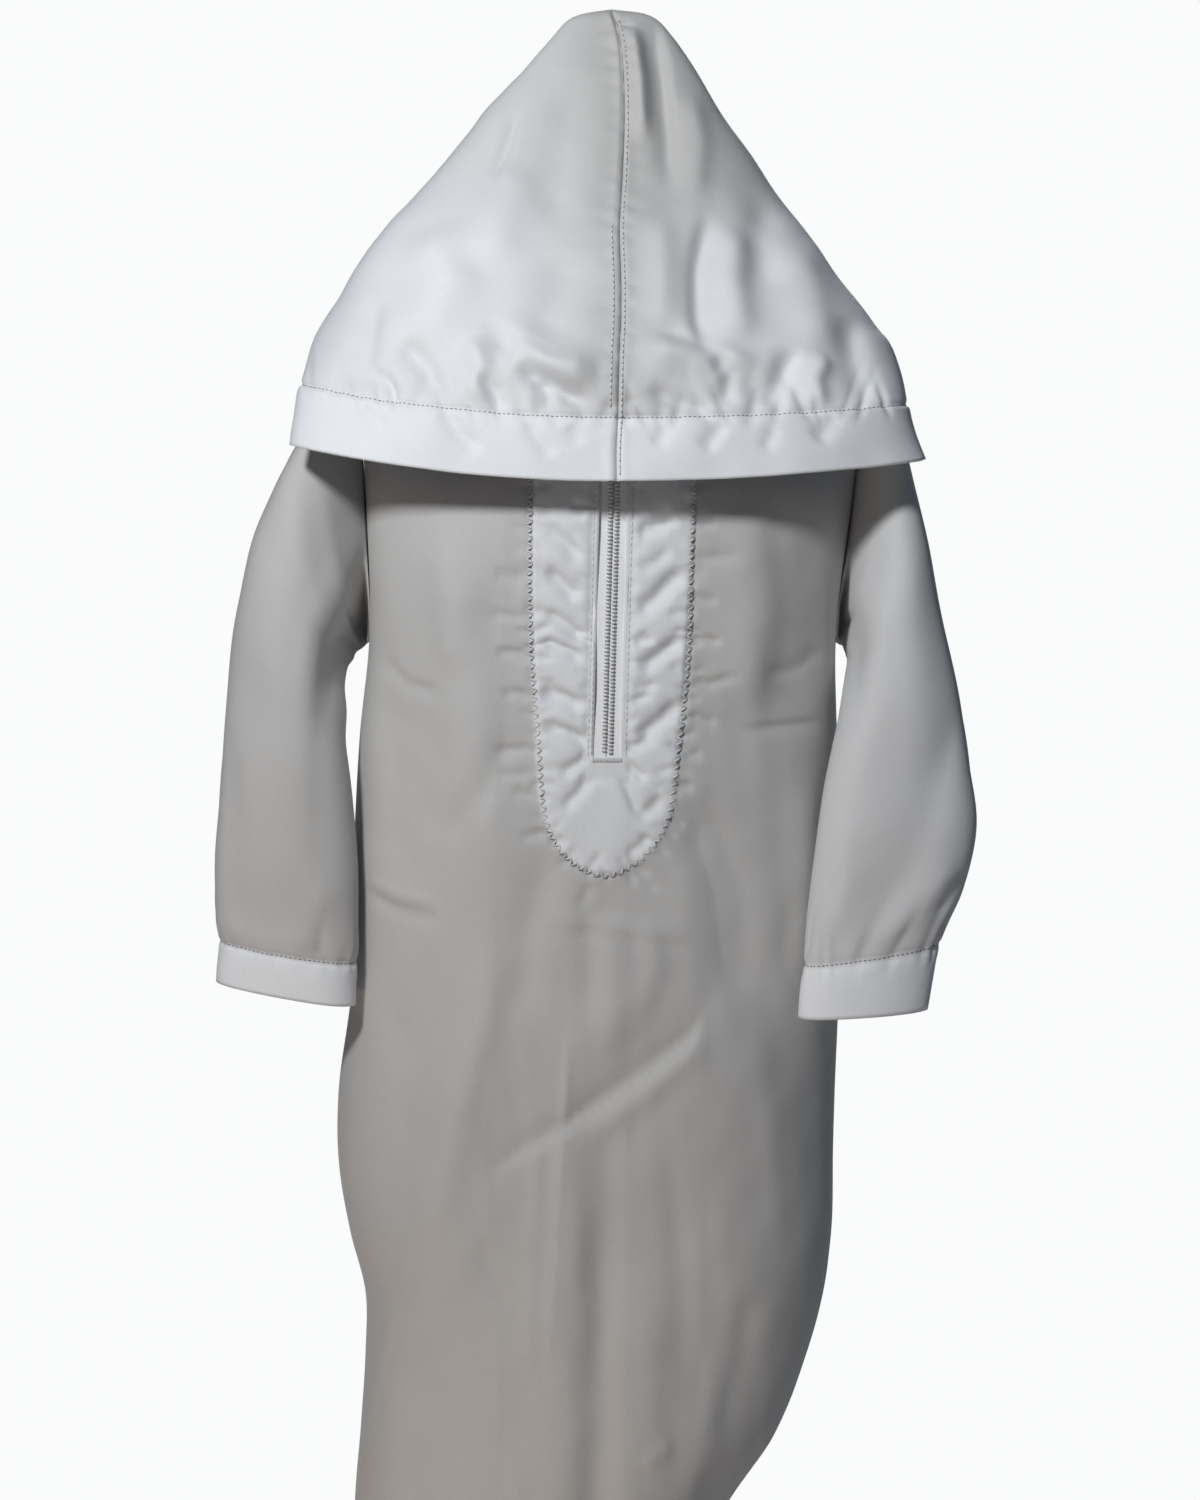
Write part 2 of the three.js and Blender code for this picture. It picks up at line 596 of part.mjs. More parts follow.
// The pull tab hangs from a bar that passes through the bail.
function zipPull() {
  const shape = roundedRectangle(PULL.width, PULL.length, 1.6);
  const eyeUp = new THREE.Vector2(0, PULL.length / 2 - PULL.lip - PULL.eye / 2);
  const eye = roundedRectangle(PULL.eye, PULL.eye, 0.5, THREE.Path).getPoints(4);
  shape.holes.push(new THREE.Path(eye.map((p) => p.clone().add(eyeUp))));
  const tab = extrude(shape, PULL.thick);
  tab.rotateX(Math.PI / 2);
  tab.translate(sliderX, hingeY + PULL.thick / 2, hingeZ + PULL.lip / 2 - PULL.length / 2);
  return tab;
}

// The bar tack across the foot of the slit lies on the front, a gap clear of it.
function barTack() {
  const heights = [SLIT.foot_z + TACK.height / 2 - 1.4, SLIT.foot_z - TACK.height / 2 - 1.4];
  const left = (z) => slitCentre(z) - TACK.width / 2;
  const right = (z) => slitCentre(z) + TACK.width / 2;
  return frontStrip(heights, left, right, 4, GAP + TACK.thick, GAP);
}

// The robe ---------------------------------------------------------------------------------------------

const fabric = (color) => new THREE.MeshStandardMaterial({ color, roughness: 0.85, metalness: 0 });
const CLOTH = fabric(0xdfe3e8);
const INSIDE = fabric(0xd3d7dc);
const TAPE = fabric(0xd9dcdc);
const NYLON = new THREE.MeshStandardMaterial({ color: 0xe4e6e4, roughness: 0.4, metalness: 0 });

const PIECES = [
  ["body_front", bodyFront(), CLOTH],
  ["body_back", bodyBack(), CLOTH],
  ["hem_front", skirtHem(frontGrid), INSIDE],
  ["hem_back", skirtHem(backGrid), INSIDE],
  ["sleeve_left", sleeve(-1), CLOTH],
  ["sleeve_right", sleeve(1), CLOTH],
  ["cuff_hem_left", cuffHem(-1), INSIDE],
  ["cuff_hem_right", cuffHem(1), INSIDE],
  ["hood_left", hoodHalf(-1), CLOTH],
  ["hood_right", hoodHalf(1), CLOTH],
  ["hood_hem_left", hoodHem(-1), INSIDE],
  ["hood_hem_right", hoodHem(1), INSIDE],
  ["placket", placket(), INSIDE],
  ["zip_tape_left", zipTape(-1), TAPE],
  ["zip_tape_right", zipTape(1), TAPE],
  ["zip_chain", zipChain(), NYLON],
  ["zip_slider", zipSlider(), NYLON],
  ["zip_pull", zipPull(), NYLON],
  ["bar_tack", barTack(), CLOTH],
];

const robe = new THREE.Group();
for (const [name, geometry, material] of PIECES) {
  const mesh = new THREE.Mesh(geometry, material.clone());
  mesh.name = name;
  robe.add(mesh);
}

export default robe;
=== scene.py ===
"""The looks of a toddler's hooded thobe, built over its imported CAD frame.

Shapes are worked out in millimetres, from the same sizes as the CAD, and become metres in new_mesh().
The front faces -Y, the origin is the outside of the hood's peak, and left means the viewer's left.
Many points of the outline and crease tables were worked out from the photo by a separate converter,
through an assumed camera and at guessed depths, and then rounded or moved by hand.
"""

import math

import bpy
import numpy as np
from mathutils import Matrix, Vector


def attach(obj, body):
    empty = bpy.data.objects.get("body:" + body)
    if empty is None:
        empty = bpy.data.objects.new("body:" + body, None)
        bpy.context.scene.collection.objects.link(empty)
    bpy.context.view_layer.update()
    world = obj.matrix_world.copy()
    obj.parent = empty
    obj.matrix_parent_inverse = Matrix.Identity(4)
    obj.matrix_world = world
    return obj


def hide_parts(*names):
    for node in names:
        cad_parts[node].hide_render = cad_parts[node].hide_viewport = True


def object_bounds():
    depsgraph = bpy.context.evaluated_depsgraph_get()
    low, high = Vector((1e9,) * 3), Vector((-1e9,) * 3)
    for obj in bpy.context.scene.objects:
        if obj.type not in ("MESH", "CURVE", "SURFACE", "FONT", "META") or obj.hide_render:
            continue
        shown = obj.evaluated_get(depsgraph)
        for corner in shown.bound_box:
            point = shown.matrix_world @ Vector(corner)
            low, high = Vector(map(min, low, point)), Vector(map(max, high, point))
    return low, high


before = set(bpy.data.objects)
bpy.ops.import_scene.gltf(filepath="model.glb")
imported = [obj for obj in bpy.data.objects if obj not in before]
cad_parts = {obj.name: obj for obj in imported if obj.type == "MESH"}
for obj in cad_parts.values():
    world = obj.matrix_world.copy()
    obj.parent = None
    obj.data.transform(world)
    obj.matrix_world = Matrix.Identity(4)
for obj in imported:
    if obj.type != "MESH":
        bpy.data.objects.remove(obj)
CAD_LOW, CAD_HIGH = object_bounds()

MM = 0.001
PLY = 0.8  # thickness of one ply as it shows, inside the CAD's 1.2
CAD_PLY = 1.2
GAP = 0.3
ROUNDNESS = 2.3
NECK_HALF, NECK_Y, NECK_Z = 52.0, -4.0, -162.0
NECK_FRONT, NECK_BACK, NECK_DROP, NECK_RISE = 46.0, 44.0, 22.0, 5.0
TIP_X, TIP_Z, UNDER_Z, SCOOP = 123.0, -184.0, -304.0, 0.4
CHEST_Z, HEM_Z = -240.0, -800.0
SLIT_HALF, SLIT_FOOT = 6.5, -355.5
ZIP_TOP = NECK_Z - NECK_DROP - 1.5
TAPE_FACE = -CAD_PLY - 2.5 * GAP
TAPE_SHOWN = -PLY - 0.15  # just behind the slit's edges
TAPE_EDGE = 8.2


def table(names, rows):
    """Named columns of numbers, from a list of rows."""
    return {name: np.array(column, float) for name, column in zip(names.split(), zip(*rows))}


BODY = table(
    "z left right front back",
    [
        (-184, -123, 123, 56, 46),
        (-240, -120, 117, 57, 50),
        (-304, -119, 110, 58, 54),
        (-350, -124, 111, 59, 57),
        (-400, -127, 112.5, 61, 60),
        (-480, -129.5, 113, 63, 64),
        (-533, -136.5, 111.5, 65, 68),
        (-560, -137, 111, 66, 70),
        (-600, -131, 110.5, 68, 74),
        (-630, -124, 107, 70, 79),
        (-665, -124, 97.5, 73, 86),
        (-700, -126.5, 84, 77, 93),
        (-742, -130, 57, 81, 101),
        (-770, -130, 50, 82, 104),
        (-800, -131, 48, 83, 105),
    ],
)

# The largest folds, as in the CAD: facing, top x and z, foot x and z, half-width, height.
FOLDS = [
    (-1, -55, -430, -95, -640, 20, 4),
    (-1, -18, -500, -28, -800, 13, 3),
    (-1, -2, -500, -8, -800, 9, -3),
    (-1, 48, -460, 70, -640, 22, 3.5),
    (-1, -84, -610, -110, -800, 12, -4),
    (-1, 20, -600, 5, -800, 20, 4),
    (1, -60, -300, -75, -800, 24, 5),
    (1, 8, -260, 0, -800, 22, -5),
    (1, 62, -320, 50, -800, 22, 5),
]

SLEEVE_NAMES = "outer_x outer_z inner_x inner_z mid_y depth ridge"
SLEEVES = {
    -1: table(
        SLEEVE_NAMES,
        [
            (-138, -190, -122.5, -307, -6, 20, 0.1),
            (-149, -203, -125.5, -309.5, -12, 25, 0.12),
            (-161, -225, -128.5, -313, -16, 28, 0.13),
            (-172, -250, -130.5, -318, -20, 29, 0.13),
            (-179.5, -282, -130.5, -327, -24, 28, 0.12),
            (-185, -318, -129, -342, -27, 26, 0.1),
            (-188, -358, -127, -364, -30, 24, 0.08),
            (-192, -402, -123.5, -406, -32, 22, 0.06),
            (-192.5, -432, -122.5, -438, -33, 20, 0.05),
            (-191, -447, -123.5, -458, -34, 19, 0.04),
            (-192, -467, -124, -479, -34, 18, 0.04),
        ],
    ),
    1: table(
        SLEEVE_NAMES,
        [
            (134, -192, 112.5, -305.5, -6, 20, 0.1),
            (140.5, -206, 114.5, -307, -13, 24, 0.12),
            (146, -228, 115.5, -309, -20, 27, 0.13),
            (152, -256, 115.5, -313, -27, 28, 0.13),
            (158, -290, 113.5, -321, -33, 26, 0.12),
            (166, -328, 109, -338, -40, 23, 0.1),
            (171, -361, 103, -366, -45, 20, 0.08),
            (173.4, -390, 98, -397, -49, 19, 0.06),
            (168, -420, 94, -428, -52, 17, 0.05),
            (157, -446, 91, -456, -53, 16, 0.04),
            (151, -477, 90, -481, -54, 15, 0.04),
        ],
    ),
}

HOOD = table(
    "front_z seam_x front_y left_x left_z right_x right_z fold_y back_y turn wrap sag",
    [
        (0, 0, 0, 0, 0, 0, 0, 0, 0, 0, 1, 0),
        (-3.5, 1, -4.5, -17.7, -3.2, 19, -3.2, 0, 5, 0, 1, 0),
        (-12, 3.5, -8, -28, -12, 28.5, -12, 0, 9, 0, 1, 0),
        (-29, 5.5, -14, -43, -29, 40, -29, -1, 14, 0, 1, 0),
        (-54, 6, -23, -64, -53, 56.5, -54, -3, 20, 0, 1, 0),
        (-82, 5, -33, -87.7, -81, 76.3, -82, -5, 26, 0, 1, 0),
        (-107, 3.5, -46, -109.5, -105, 93, -106, -6, 31, 0, 1, 0),
        (-133, 4.2, -58, -129, -132.5, 112.5, -132, -9, 36, 0, 1, 2),
        (-153, 4, -67, -141.5, -151, 126.7, -151, -13, 40, 0, 1, 8),
        (-164, 3.4, -71, -145, -160, 133.5, -160, -18, 40, 45, 0.7, 8),
        (-178, 3, -75.5, -146, -169, 137, -174, -26, 40, 90, 0.4, 5),
        (-196, 2.6, -79, -146.7, -180.3, 139.7, -189.7, -36, 40, 128, 0.15, 0),
        (-211, 1.9, -81.5, -149, -194.5, 143.3, -202.5, -43, 40, 152, 0, 0),
        (-225.3, 1.9, -83, -151.8, -208.6, 147.6, -215.2, -48, 40, 172, 0, 0),
    ],
)
HOOD_HEM_ROW = 11
SEAM_GAP = 0.03  # from the middle of a seam to each side of it
SEAM_STEP = 0.45  # each ply at an armhole's edge lies this much further out, so none shows a gap

# Numbers and curves ---------------------------------------------------------------------------------


def lerp(a, b, t):
    return a + (b - a) * t


def smooth(t):
    t = np.clip(t, 0, 1)
    return t * t * (3 - 2 * t)


def through(xs, ys, x):
    """A smooth curve through the points (xs, ys), at x. The last axis of ys may hold several values."""
    slope = np.gradient(ys, xs, axis=0)
    i = np.clip(np.searchsorted(xs, x, side="right") - 1, 0, len(xs) - 2)
    h = xs[i + 1] - xs[i]
    t = np.clip((x - xs[i]) / h, 0, 1)
    if ys.ndim > 1:
        h = h.reshape(h.shape + (1,) * (ys.ndim - 1))
        t = t.reshape(t.shape + (1,) * (ys.ndim - 1))
    start = ys[i] * (1 + 2 * t) * (1 - t) ** 2 + slope[i] * h * t * (1 - t) ** 2
    end = ys[i + 1] * (3 - 2 * t) * t**2 - slope[i + 1] * h * (1 - t) * t**2
    return start + end


def body_at(name, z):
    return through(-BODY["z"], BODY[name], -np.asarray(z, float))


def uneven(x, z, seed, length, height, waves=7):
    """A gentle unevenness: plane waves of about one wavelength, in seeded directions."""
    rng = np.random.default_rng(seed)
    total = np.zeros(np.broadcast(x, z).shape)
    for _ in range(waves):
        turn, phase = rng.uniform(0, 2 * math.pi, 2)
        pitch = length * rng.uniform(0.7, 1.5)
        along = (x * math.cos(turn) + z * math.sin(turn)) * 2 * math.pi / pitch
        total += np.sin(along + phase)
    return total * height / math.sqrt(waves)


def crease(x, z, path, height, left, right=None, sharp=False, fade=0.3):
    """The height of one crease along a path. left and right are its half-widths as one follows the path."""
    right = left if right is None else right
    lengths = [math.dist(a, b) for a, b in zip(path, path[1:])]
    whole = sum(lengths)
    nearest = np.full(np.shape(x), 1e9)
    along = np.zeros(np.shape(x))
    is_left = np.zeros(np.shape(x), bool)
    before = 0.0
    for (x0, z0), (x1, z1), length in zip(path, path[1:], lengths):
        dx, dz = (x1 - x0) / length, (z1 - z0) / length
        s = np.clip((x - x0) * dx + (z - z0) * dz, 0, length)
        off_x, off_z = x - x0 - s * dx, z - z0 - s * dz
        away = np.hypot(off_x, off_z)
        closer = away < nearest
        nearest = np.where(closer, away, nearest)
        along = np.where(closer, (before + s) / whole, along)
        is_left = np.where(closer, dx * off_z - dz * off_x > 0, is_left)
        before += length
    u = nearest / np.where(is_left, left, right)
    profile = np.exp(-1.5 * u) if sharp else np.exp(-u * u)
    taper = smooth(along / fade + 0.15) * smooth((1 - along) / fade + 0.15)
    return height * profile * taper


def creases(x, z, rows):
    total = np.zeros(np.broadcast(x, z).shape)
    for row in rows:
        total += crease(x, z, *row)
    return total


# Meshes ---------------------------------------------------------------------------------------------


def new_mesh(name, points, faces, material, flat_from=None, attributes=None):
    """A mesh object from points in millimetres. Faces from flat_from on are flat shaded."""
    mesh = bpy.data.meshes.new(name)
    mesh.from_pydata((np.asarray(points) * MM).tolist(), [], [list(map(int, f)) for f in faces])
    shaded = np.ones(len(mesh.polygons), bool)
    if flat_from is not None:
        shaded[flat_from:] = False
    mesh.polygons.foreach_set("use_smooth", shaded)
    for key, values in (attributes or {}).items():
        kind = "FLOAT" if values.ndim == 1 else "FLOAT_VECTOR"
        layer = mesh.attributes.new(key, kind, "POINT")
        layer.data.foreach_set("value" if kind == "FLOAT" else "vector", values.astype(np.float32).ravel())
    mesh.materials.append(material)
    mesh.update()
    obj = bpy.data.objects.new(name, mesh)
    bpy.context.scene.collection.objects.link(obj)
    return obj


def grid_normals(points, wraps=False):
    """Unit normals of a grid whose rows run down and whose columns run left to right on its outside."""
    if wraps:
        across = np.roll(points, -1, 1) - np.roll(points, 1, 1)
    else:
        across = np.gradient(points, axis=1)
    down = np.gradient(points, axis=0)
    normals = np.cross(down, across)
    size = np.linalg.norm(normals, axis=2, keepdims=True)
    return normals / np.maximum(size, 1e-9)


def cloth_place(points):
    """Places on the flat cloth, in metres: how far along its row and down its column a point is."""
    across = np.linalg.norm(np.diff(points, axis=1), axis=2)
    down = np.linalg.norm(np.diff(points, axis=0), axis=2)
    u = np.concatenate([np.zeros((len(points), 1)), np.cumsum(across, 1)], 1)
    u -= u[:, [points.shape[1] // 2]]
    v = np.concatenate([np.zeros((1, points.shape[1])), np.cumsum(down, 0)], 0)
    return np.stack([u, v, np.zeros_like(u)], 2) * MM


def wall(name, points, material, outer=0.0, inner=-PLY, wraps=False, keep=None, normals=None, ply=1.0):
    """A closed wall of cloth between two offsets from a grid.

    ply sets its colour, from 1 for a single ply's to 0 for a doubled one's; on the hood and the right sleeve
    it also carries painted shade and painted light.
    """
    rows, columns = points.shape[:2]
    normals = grid_normals(points, wraps) if normals is None else normals
    cells = columns if wraps else columns - 1
    keep = np.ones((rows - 1, cells), bool) if keep is None else keep
    i, j = np.nonzero(keep)
    k = (j + 1) % columns
    corners = np.stack([i * columns + j, (i + 1) * columns + j, (i + 1) * columns + k, i * columns + k], 1)
    half = rows * columns
    faces = [corners, corners[:, ::-1] + half]
    padded = np.zeros((rows + 1, cells + 2), bool)
    padded[1:-1, 1:-1] = keep
    if wraps:
        padded[1:-1, 0], padded[1:-1, -1] = keep[:, -1], keep[:, 0]
    for side, (di, dj) in enumerate([(0, -1), (1, 0), (0, 1), (-1, 0)]):
        is_open = ~padded[i + 1 + di, j + 1 + dj]
        a, b = corners[is_open, side], corners[is_open, (side + 1) % 4]
        faces.append(np.stack([b, a, a + half, b + half], 1))
    faces = np.concatenate(faces)
    both = np.concatenate([(points + normals * offset).reshape(-1, 3) for offset in (outer, inner)])
    used = np.unique(faces)
    renumber = np.zeros(len(both), int)
    renumber[used] = np.arange(len(used))
    place = np.tile(cloth_place(points).reshape(-1, 3), (2, 1))[used]
    ply_and_painted_shade = np.tile(np.broadcast_to(ply, (rows, columns)).ravel(), 2)[used]
    layers = {"weave": place, "ply": ply_and_painted_shade}
    return new_mesh(name, both[used], renumber[faces], material, 2 * len(corners), layers)


# One stitch: a short lens of thread lying along X on the cloth, Z up, 1 long, 1 wide and 1 high.
STITCH_STATIONS = [(-0.5, 0.0), (-0.36, 0.7), (0.0, 1.0), (0.36, 0.7), (0.5, 0.0)]
STITCH_ROUND = 6


def stitch_template():
    points, faces = [], []
    rings = STITCH_STATIONS[1:-1]
    for x, r in rings:
        for q in range(STITCH_ROUND):
            turn = 2 * math.pi * q / STITCH_ROUND
            points.append((x, 0.5 * r * math.cos(turn), 0.5 * r * math.sin(turn)))
    points += [(STITCH_STATIONS[0][0], 0, -0.2), (STITCH_STATIONS[-1][0], 0, -0.2)]
    start, end = len(points) - 2, len(points) - 1
    last = (len(rings) - 1) * STITCH_ROUND
    for q in range(STITCH_ROUND):
        n = (q + 1) % STITCH_ROUND
        for ring in range(len(rings) - 1):
            low = ring * STITCH_ROUND
            faces.append((low + q, low + n, low + STITCH_ROUND + n, low + STITCH_ROUND + q))
        faces.append((start, n, q, q))
        faces.append((end, last + q, last + n, last + n))
    return np.array(points, float), faces


STITCH_POINTS, STITCH_FACES = stitch_template()


def stitches(name, ends, normals, material, width=0.55, height=0.5, lift=0.12):
    """Thread between pairs of points, each pair one stitch, lifted a little off the cloth."""
    points, faces, twist = [], [], []
    for n, ((a, b), up) in enumerate(zip(ends, normals)):
        along = b - a
        length = np.linalg.norm(along)
        along = along / length
        up = up - along * up.dot(along)
        up = up / np.linalg.norm(up)
        across = np.cross(up, along)
        local = STITCH_POINTS * (length, width, height)
        middle = (a + b) / 2 + up * lift
        points.append(middle + local[:, :1] * along + local[:, 1:2] * across + local[:, 2:] * up)
        base = n * len(STITCH_POINTS)
        faces += [tuple(dict.fromkeys(base + v for v in face)) for face in STITCH_FACES]
        twist.append(np.stack([local[:, 0] + n * 3.1, local[:, 1], local[:, 2]], 1) * MM)
    layers = {"weave": np.concatenate(twist)}
    return new_mesh(name, np.concatenate(points), faces, material, attributes=layers)


def stitch_line(path, normals, pitch, length, skip=0.0):
    """Pairs of ends of equal stitches along a line of points, and the normal at each."""
    steps = np.linalg.norm(np.diff(path, axis=0), axis=1)
    along = np.concatenate([[0], np.cumsum(steps)])
    starts = np.arange(skip, along[-1] - length, pitch)
    at = lambda s, values: np.stack([np.interp(s, along, values[:, c]) for c in range(3)], 1)
    first, last, up = at(starts, path), at(starts + length, path), at(starts + length / 2, normals)
    return list(zip(first, last)), list(up)


# The body's surface -----------------------------------------------------------------------------------


def neck_point(turn, side):
    """The neckline, turn radians round from the middle of the back."""
    c = np.cos(turn)
    y = NECK_Y + np.where(c > 0, NECK_BACK, NECK_FRONT) * c
    z = NECK_Z + NECK_RISE * np.maximum(0, c) - NECK_DROP * np.maximum(0, -c) ** 1.3
    return side * NECK_HALF * np.sin(turn), y, z


def top_edge(x, facing):
    """Y and Z of the top edge of the front or back panel: the neckline, then the shoulder seam."""
    t = np.clip((np.abs(x) - NECK_HALF) / (TIP_X - NECK_HALF), 0, 1)
    bend = np.arcsin(np.clip(np.abs(x) / NECK_HALF, 0, 1))
    _, y, z = neck_point(np.where(facing < 0, np.pi - bend, bend), 1)
    on_shoulder = np.abs(x) >= NECK_HALF
    return np.where(on_shoulder, lerp(NECK_Y, 0, t), y), np.where(on_shoulder, lerp(NECK_Z, TIP_Z, t), z)


def fold_height(x, z, facing):
    left, right = body_at("left", z), body_at("right", z)
    across = (2 * x - left - right) / (right - left)
    total = np.zeros(np.broadcast(x, z).shape)
    for side, top_x, top_z, foot_x, foot_z, half, height in FOLDS:
        if side != facing:
            continue
        along = (top_z - z) / (top_z - foot_z)
        away = (x - lerp(top_x, foot_x, along)) / half
        fade = smooth(along * 3) * np.where(foot_z > HEM_Z, smooth((1.15 - along) * 5), 1)
        total += height * fade * np.exp(-away * away)
    return total * np.maximum(0, 1 - across**4)


def girth_y(x, z, facing):
    left, right = body_at("left", z), body_at("right", z)
    across = np.clip(np.abs(2 * x - left - right) / (right - left), 0, 1)
    out = (1 - across**ROUNDNESS) ** (1 / ROUNDNESS)
    return facing * body_at("front" if facing < 0 else "back", z) * out


def body_point(top_x, x, z, facing):
    top_y, top_z = top_edge(top_x, facing)
    drop = np.clip((top_z - z) / (top_z - CHEST_Z), 0, 1)
    full = girth_y(x, z, facing) + facing * fold_height(x, z, facing)
    y = lerp(top_y, full, np.sin(drop * np.pi / 2))
    return np.stack(np.broadcast_arrays(x, y, z), -1)


def slit_centre(z):
    top = NECK_Z - NECK_DROP
    return lerp(2.0, -2.5, np.clip((top - z) / (top - SLIT_FOOT), 0, 1))


def side_edge(side, share, z):
    scoop = SCOOP * np.sin(np.pi * share)
    return np.where(side < 0, body_at("left", z) + scoop, body_at("right", z) - scoop)


def body_grid(facing, columns, shares, heights):
    """Rows round the armhole by their share of the way down it, then rows at plain heights."""
    a = columns[None, :]
    side = np.where(a < 0, -1, 1)
    _, top_z = top_edge(a, facing)
    share = np.concatenate([shares, np.ones(len(heights))])[:, None]
    plain = np.concatenate([np.full(len(shares), np.nan), heights])[:, None]
    z = np.where(np.isnan(plain), lerp(top_z, UNDER_Z, share), plain)
    edge_z = np.where(np.isnan(plain), lerp(TIP_Z, UNDER_Z, share), plain)
    edge = side_edge(side, np.where(np.isnan(plain), share, 0), edge_z)
    core = slit_centre(z) + side * SLIT_HALF
    out = (np.abs(a) - SLIT_HALF) / (TIP_X - SLIT_HALF)
    x = np.where(out <= 0, slit_centre(z) + a, lerp(core, edge, out))
    return body_point(np.broadcast_to(a, x.shape), x, z, facing)


def front_at(x, z, lift=0.0):
    """A point of the finished front at a place, with its creases."""
    side = np.where(x < slit_centre(z), -1, 1)
    a = np.array(x, float)
    for _ in range(4):
        _, top_z = top_edge(a, -1)
        share = np.clip((top_z - z) / (top_z - UNDER_Z), 0, 1)
        below = z <= UNDER_Z
        edge = side_edge(side, np.where(below, 0, share), np.where(below, z, lerp(TIP_Z, UNDER_Z, share)))
        core = slit_centre(z) + side * SLIT_HALF
        out = (x - core) / (edge - core)
        a = side * (SLIT_HALF + out * (TIP_X - SLIT_HALF))
    points = body_point(a, x, z, -1)
    points[..., 1] -= front_relief(x, z) + lift
    return points


def front_normals(x, z):
    step = 0.6
    across = front_at(x + step, z) - front_at(x - step, z)
    down = front_at(x, z - step) - front_at(x, z + step)
    normals = np.cross(down, across)
    return normals / np.linalg.norm(normals, axis=-1, keepdims=True)


# The front's creases: a path of (x, z), a height, and half-widths.
PLACKET_TROUGHS = [
    ([(-32, -246), (-23, -253), (-13, -262)], -1.7, 2.6, 3.8),
    ([(-31, -266), (-15, -281)], -2.2, 2.8, 4.2),
    ([(-31, -286), (-21, -293), (-13, -300)], -1.9, 2.6, 3.6),
    ([(-33, -300), (-22, -304), (-12, -309)], -1.6, 2.2, 3.2),
    ([(-34, -322), (-22, -327), (-12, -333)], -2.2, 2.8, 4.4),
    ([(-34, -339), (-19, -344), (-8, -351)], -1.9, 2.6, 3.6),
    ([(-25, -364), (-16, -359), (-9, -353)], -1.7, 3.0, 2.2),
    ([(-24, -381), (-15, -372), (-8, -360)], -1.6, 3.0, 2.4),
    ([(-31, -392), (-21, -398)], -0.9, 2.4),
    ([(11, -251), (20, -247), (30, -241)], -1.9, 4.2, 2.8),
    ([(11, -289), (21, -281), (34, -267)], -2.4, 4.4, 3.0),
    ([(10, -302), (20, -299)], -1.2, 3.0, 2.0),
    ([(13, -315), (22, -308), (33, -300)], -2.3, 4.0, 2.8),
    ([(9, -323), (22, -321)], -1.1, 2.6, 2.0),
    ([(9, -330), (19, -325)], -1.2, 2.6, 2.0),
    ([(12, -347), (23, -339), (34, -329)], -2.3, 4.2, 2.8),
    ([(5, -351), (12, -350), (21, -346)], -1.5, 2.4),
    ([(5, -357), (10, -361), (17, -366)], -1.7, 2.2, 3.0),
    ([(4, -361), (8, -372), (13, -384)], -1.4, 2.6, 2.2),
    ([(12, -385), (25, -374)], -1.3, 2.8),
    ([(9, -401), (19, -393)], -1.0, 2.4),
    ([(-20, -236), (-12, -240)], -1.1, 2.4),
    ([(12, -268), (21, -263), (28, -257)], -1.0, 2.6),
]
OUTER_PUCKERS = [
    ([(-56, -268), (-41, -272)], -0.9, 2.0, 2.8),
    ([(-58, -287), (-40, -290)], -0.8, 2.0, 2.6),
    ([(-55, -306), (-39, -306)], -1.0, 2.2, 2.8),
    ([(-52, -325), (-38, -325)], -0.9, 2.0, 2.6),
    ([(-56, -353), (-38, -351)], -0.9, 2.2, 2.8),
    ([(-55, -364), (-37, -363)], -0.7, 1.8, 2.4),
    ([(-47, -371), (-36, -374)], -0.8, 2.0, 2.6),
    ([(-44, -394), (-30, -391)], -0.7, 2.2),
    ([(38, -243), (50, -244)], -0.8, 2.0, 2.4),
    ([(38, -262), (62, -260)], -1.0, 2.4, 2.8),
    ([(37, -280), (50, -282)], -0.9, 2.0, 2.4),
    ([(38, -299), (52, -301)], -0.9, 2.2, 2.6),
    ([(37, -319), (46, -321), (59, -317)], -0.9, 2.2, 2.6),
    ([(37, -337), (50, -339)], -0.8, 2.0, 2.4),
    ([(33, -355), (43, -354)], -0.9, 2.0, 2.6),
    ([(29, -369), (39, -369)], -0.8, 2.0, 2.4),
    ([(26, -385), (35, -388)], -0.8, 2.0, 2.4),
    ([(60, -343), (103, -341)], -0.9, 2.0, 4.0),
    ([(10, -408), (22, -420)], -0.6, 2.6),
    ([(-10, -415), (-16, -428)], -0.6, 2.6),
]
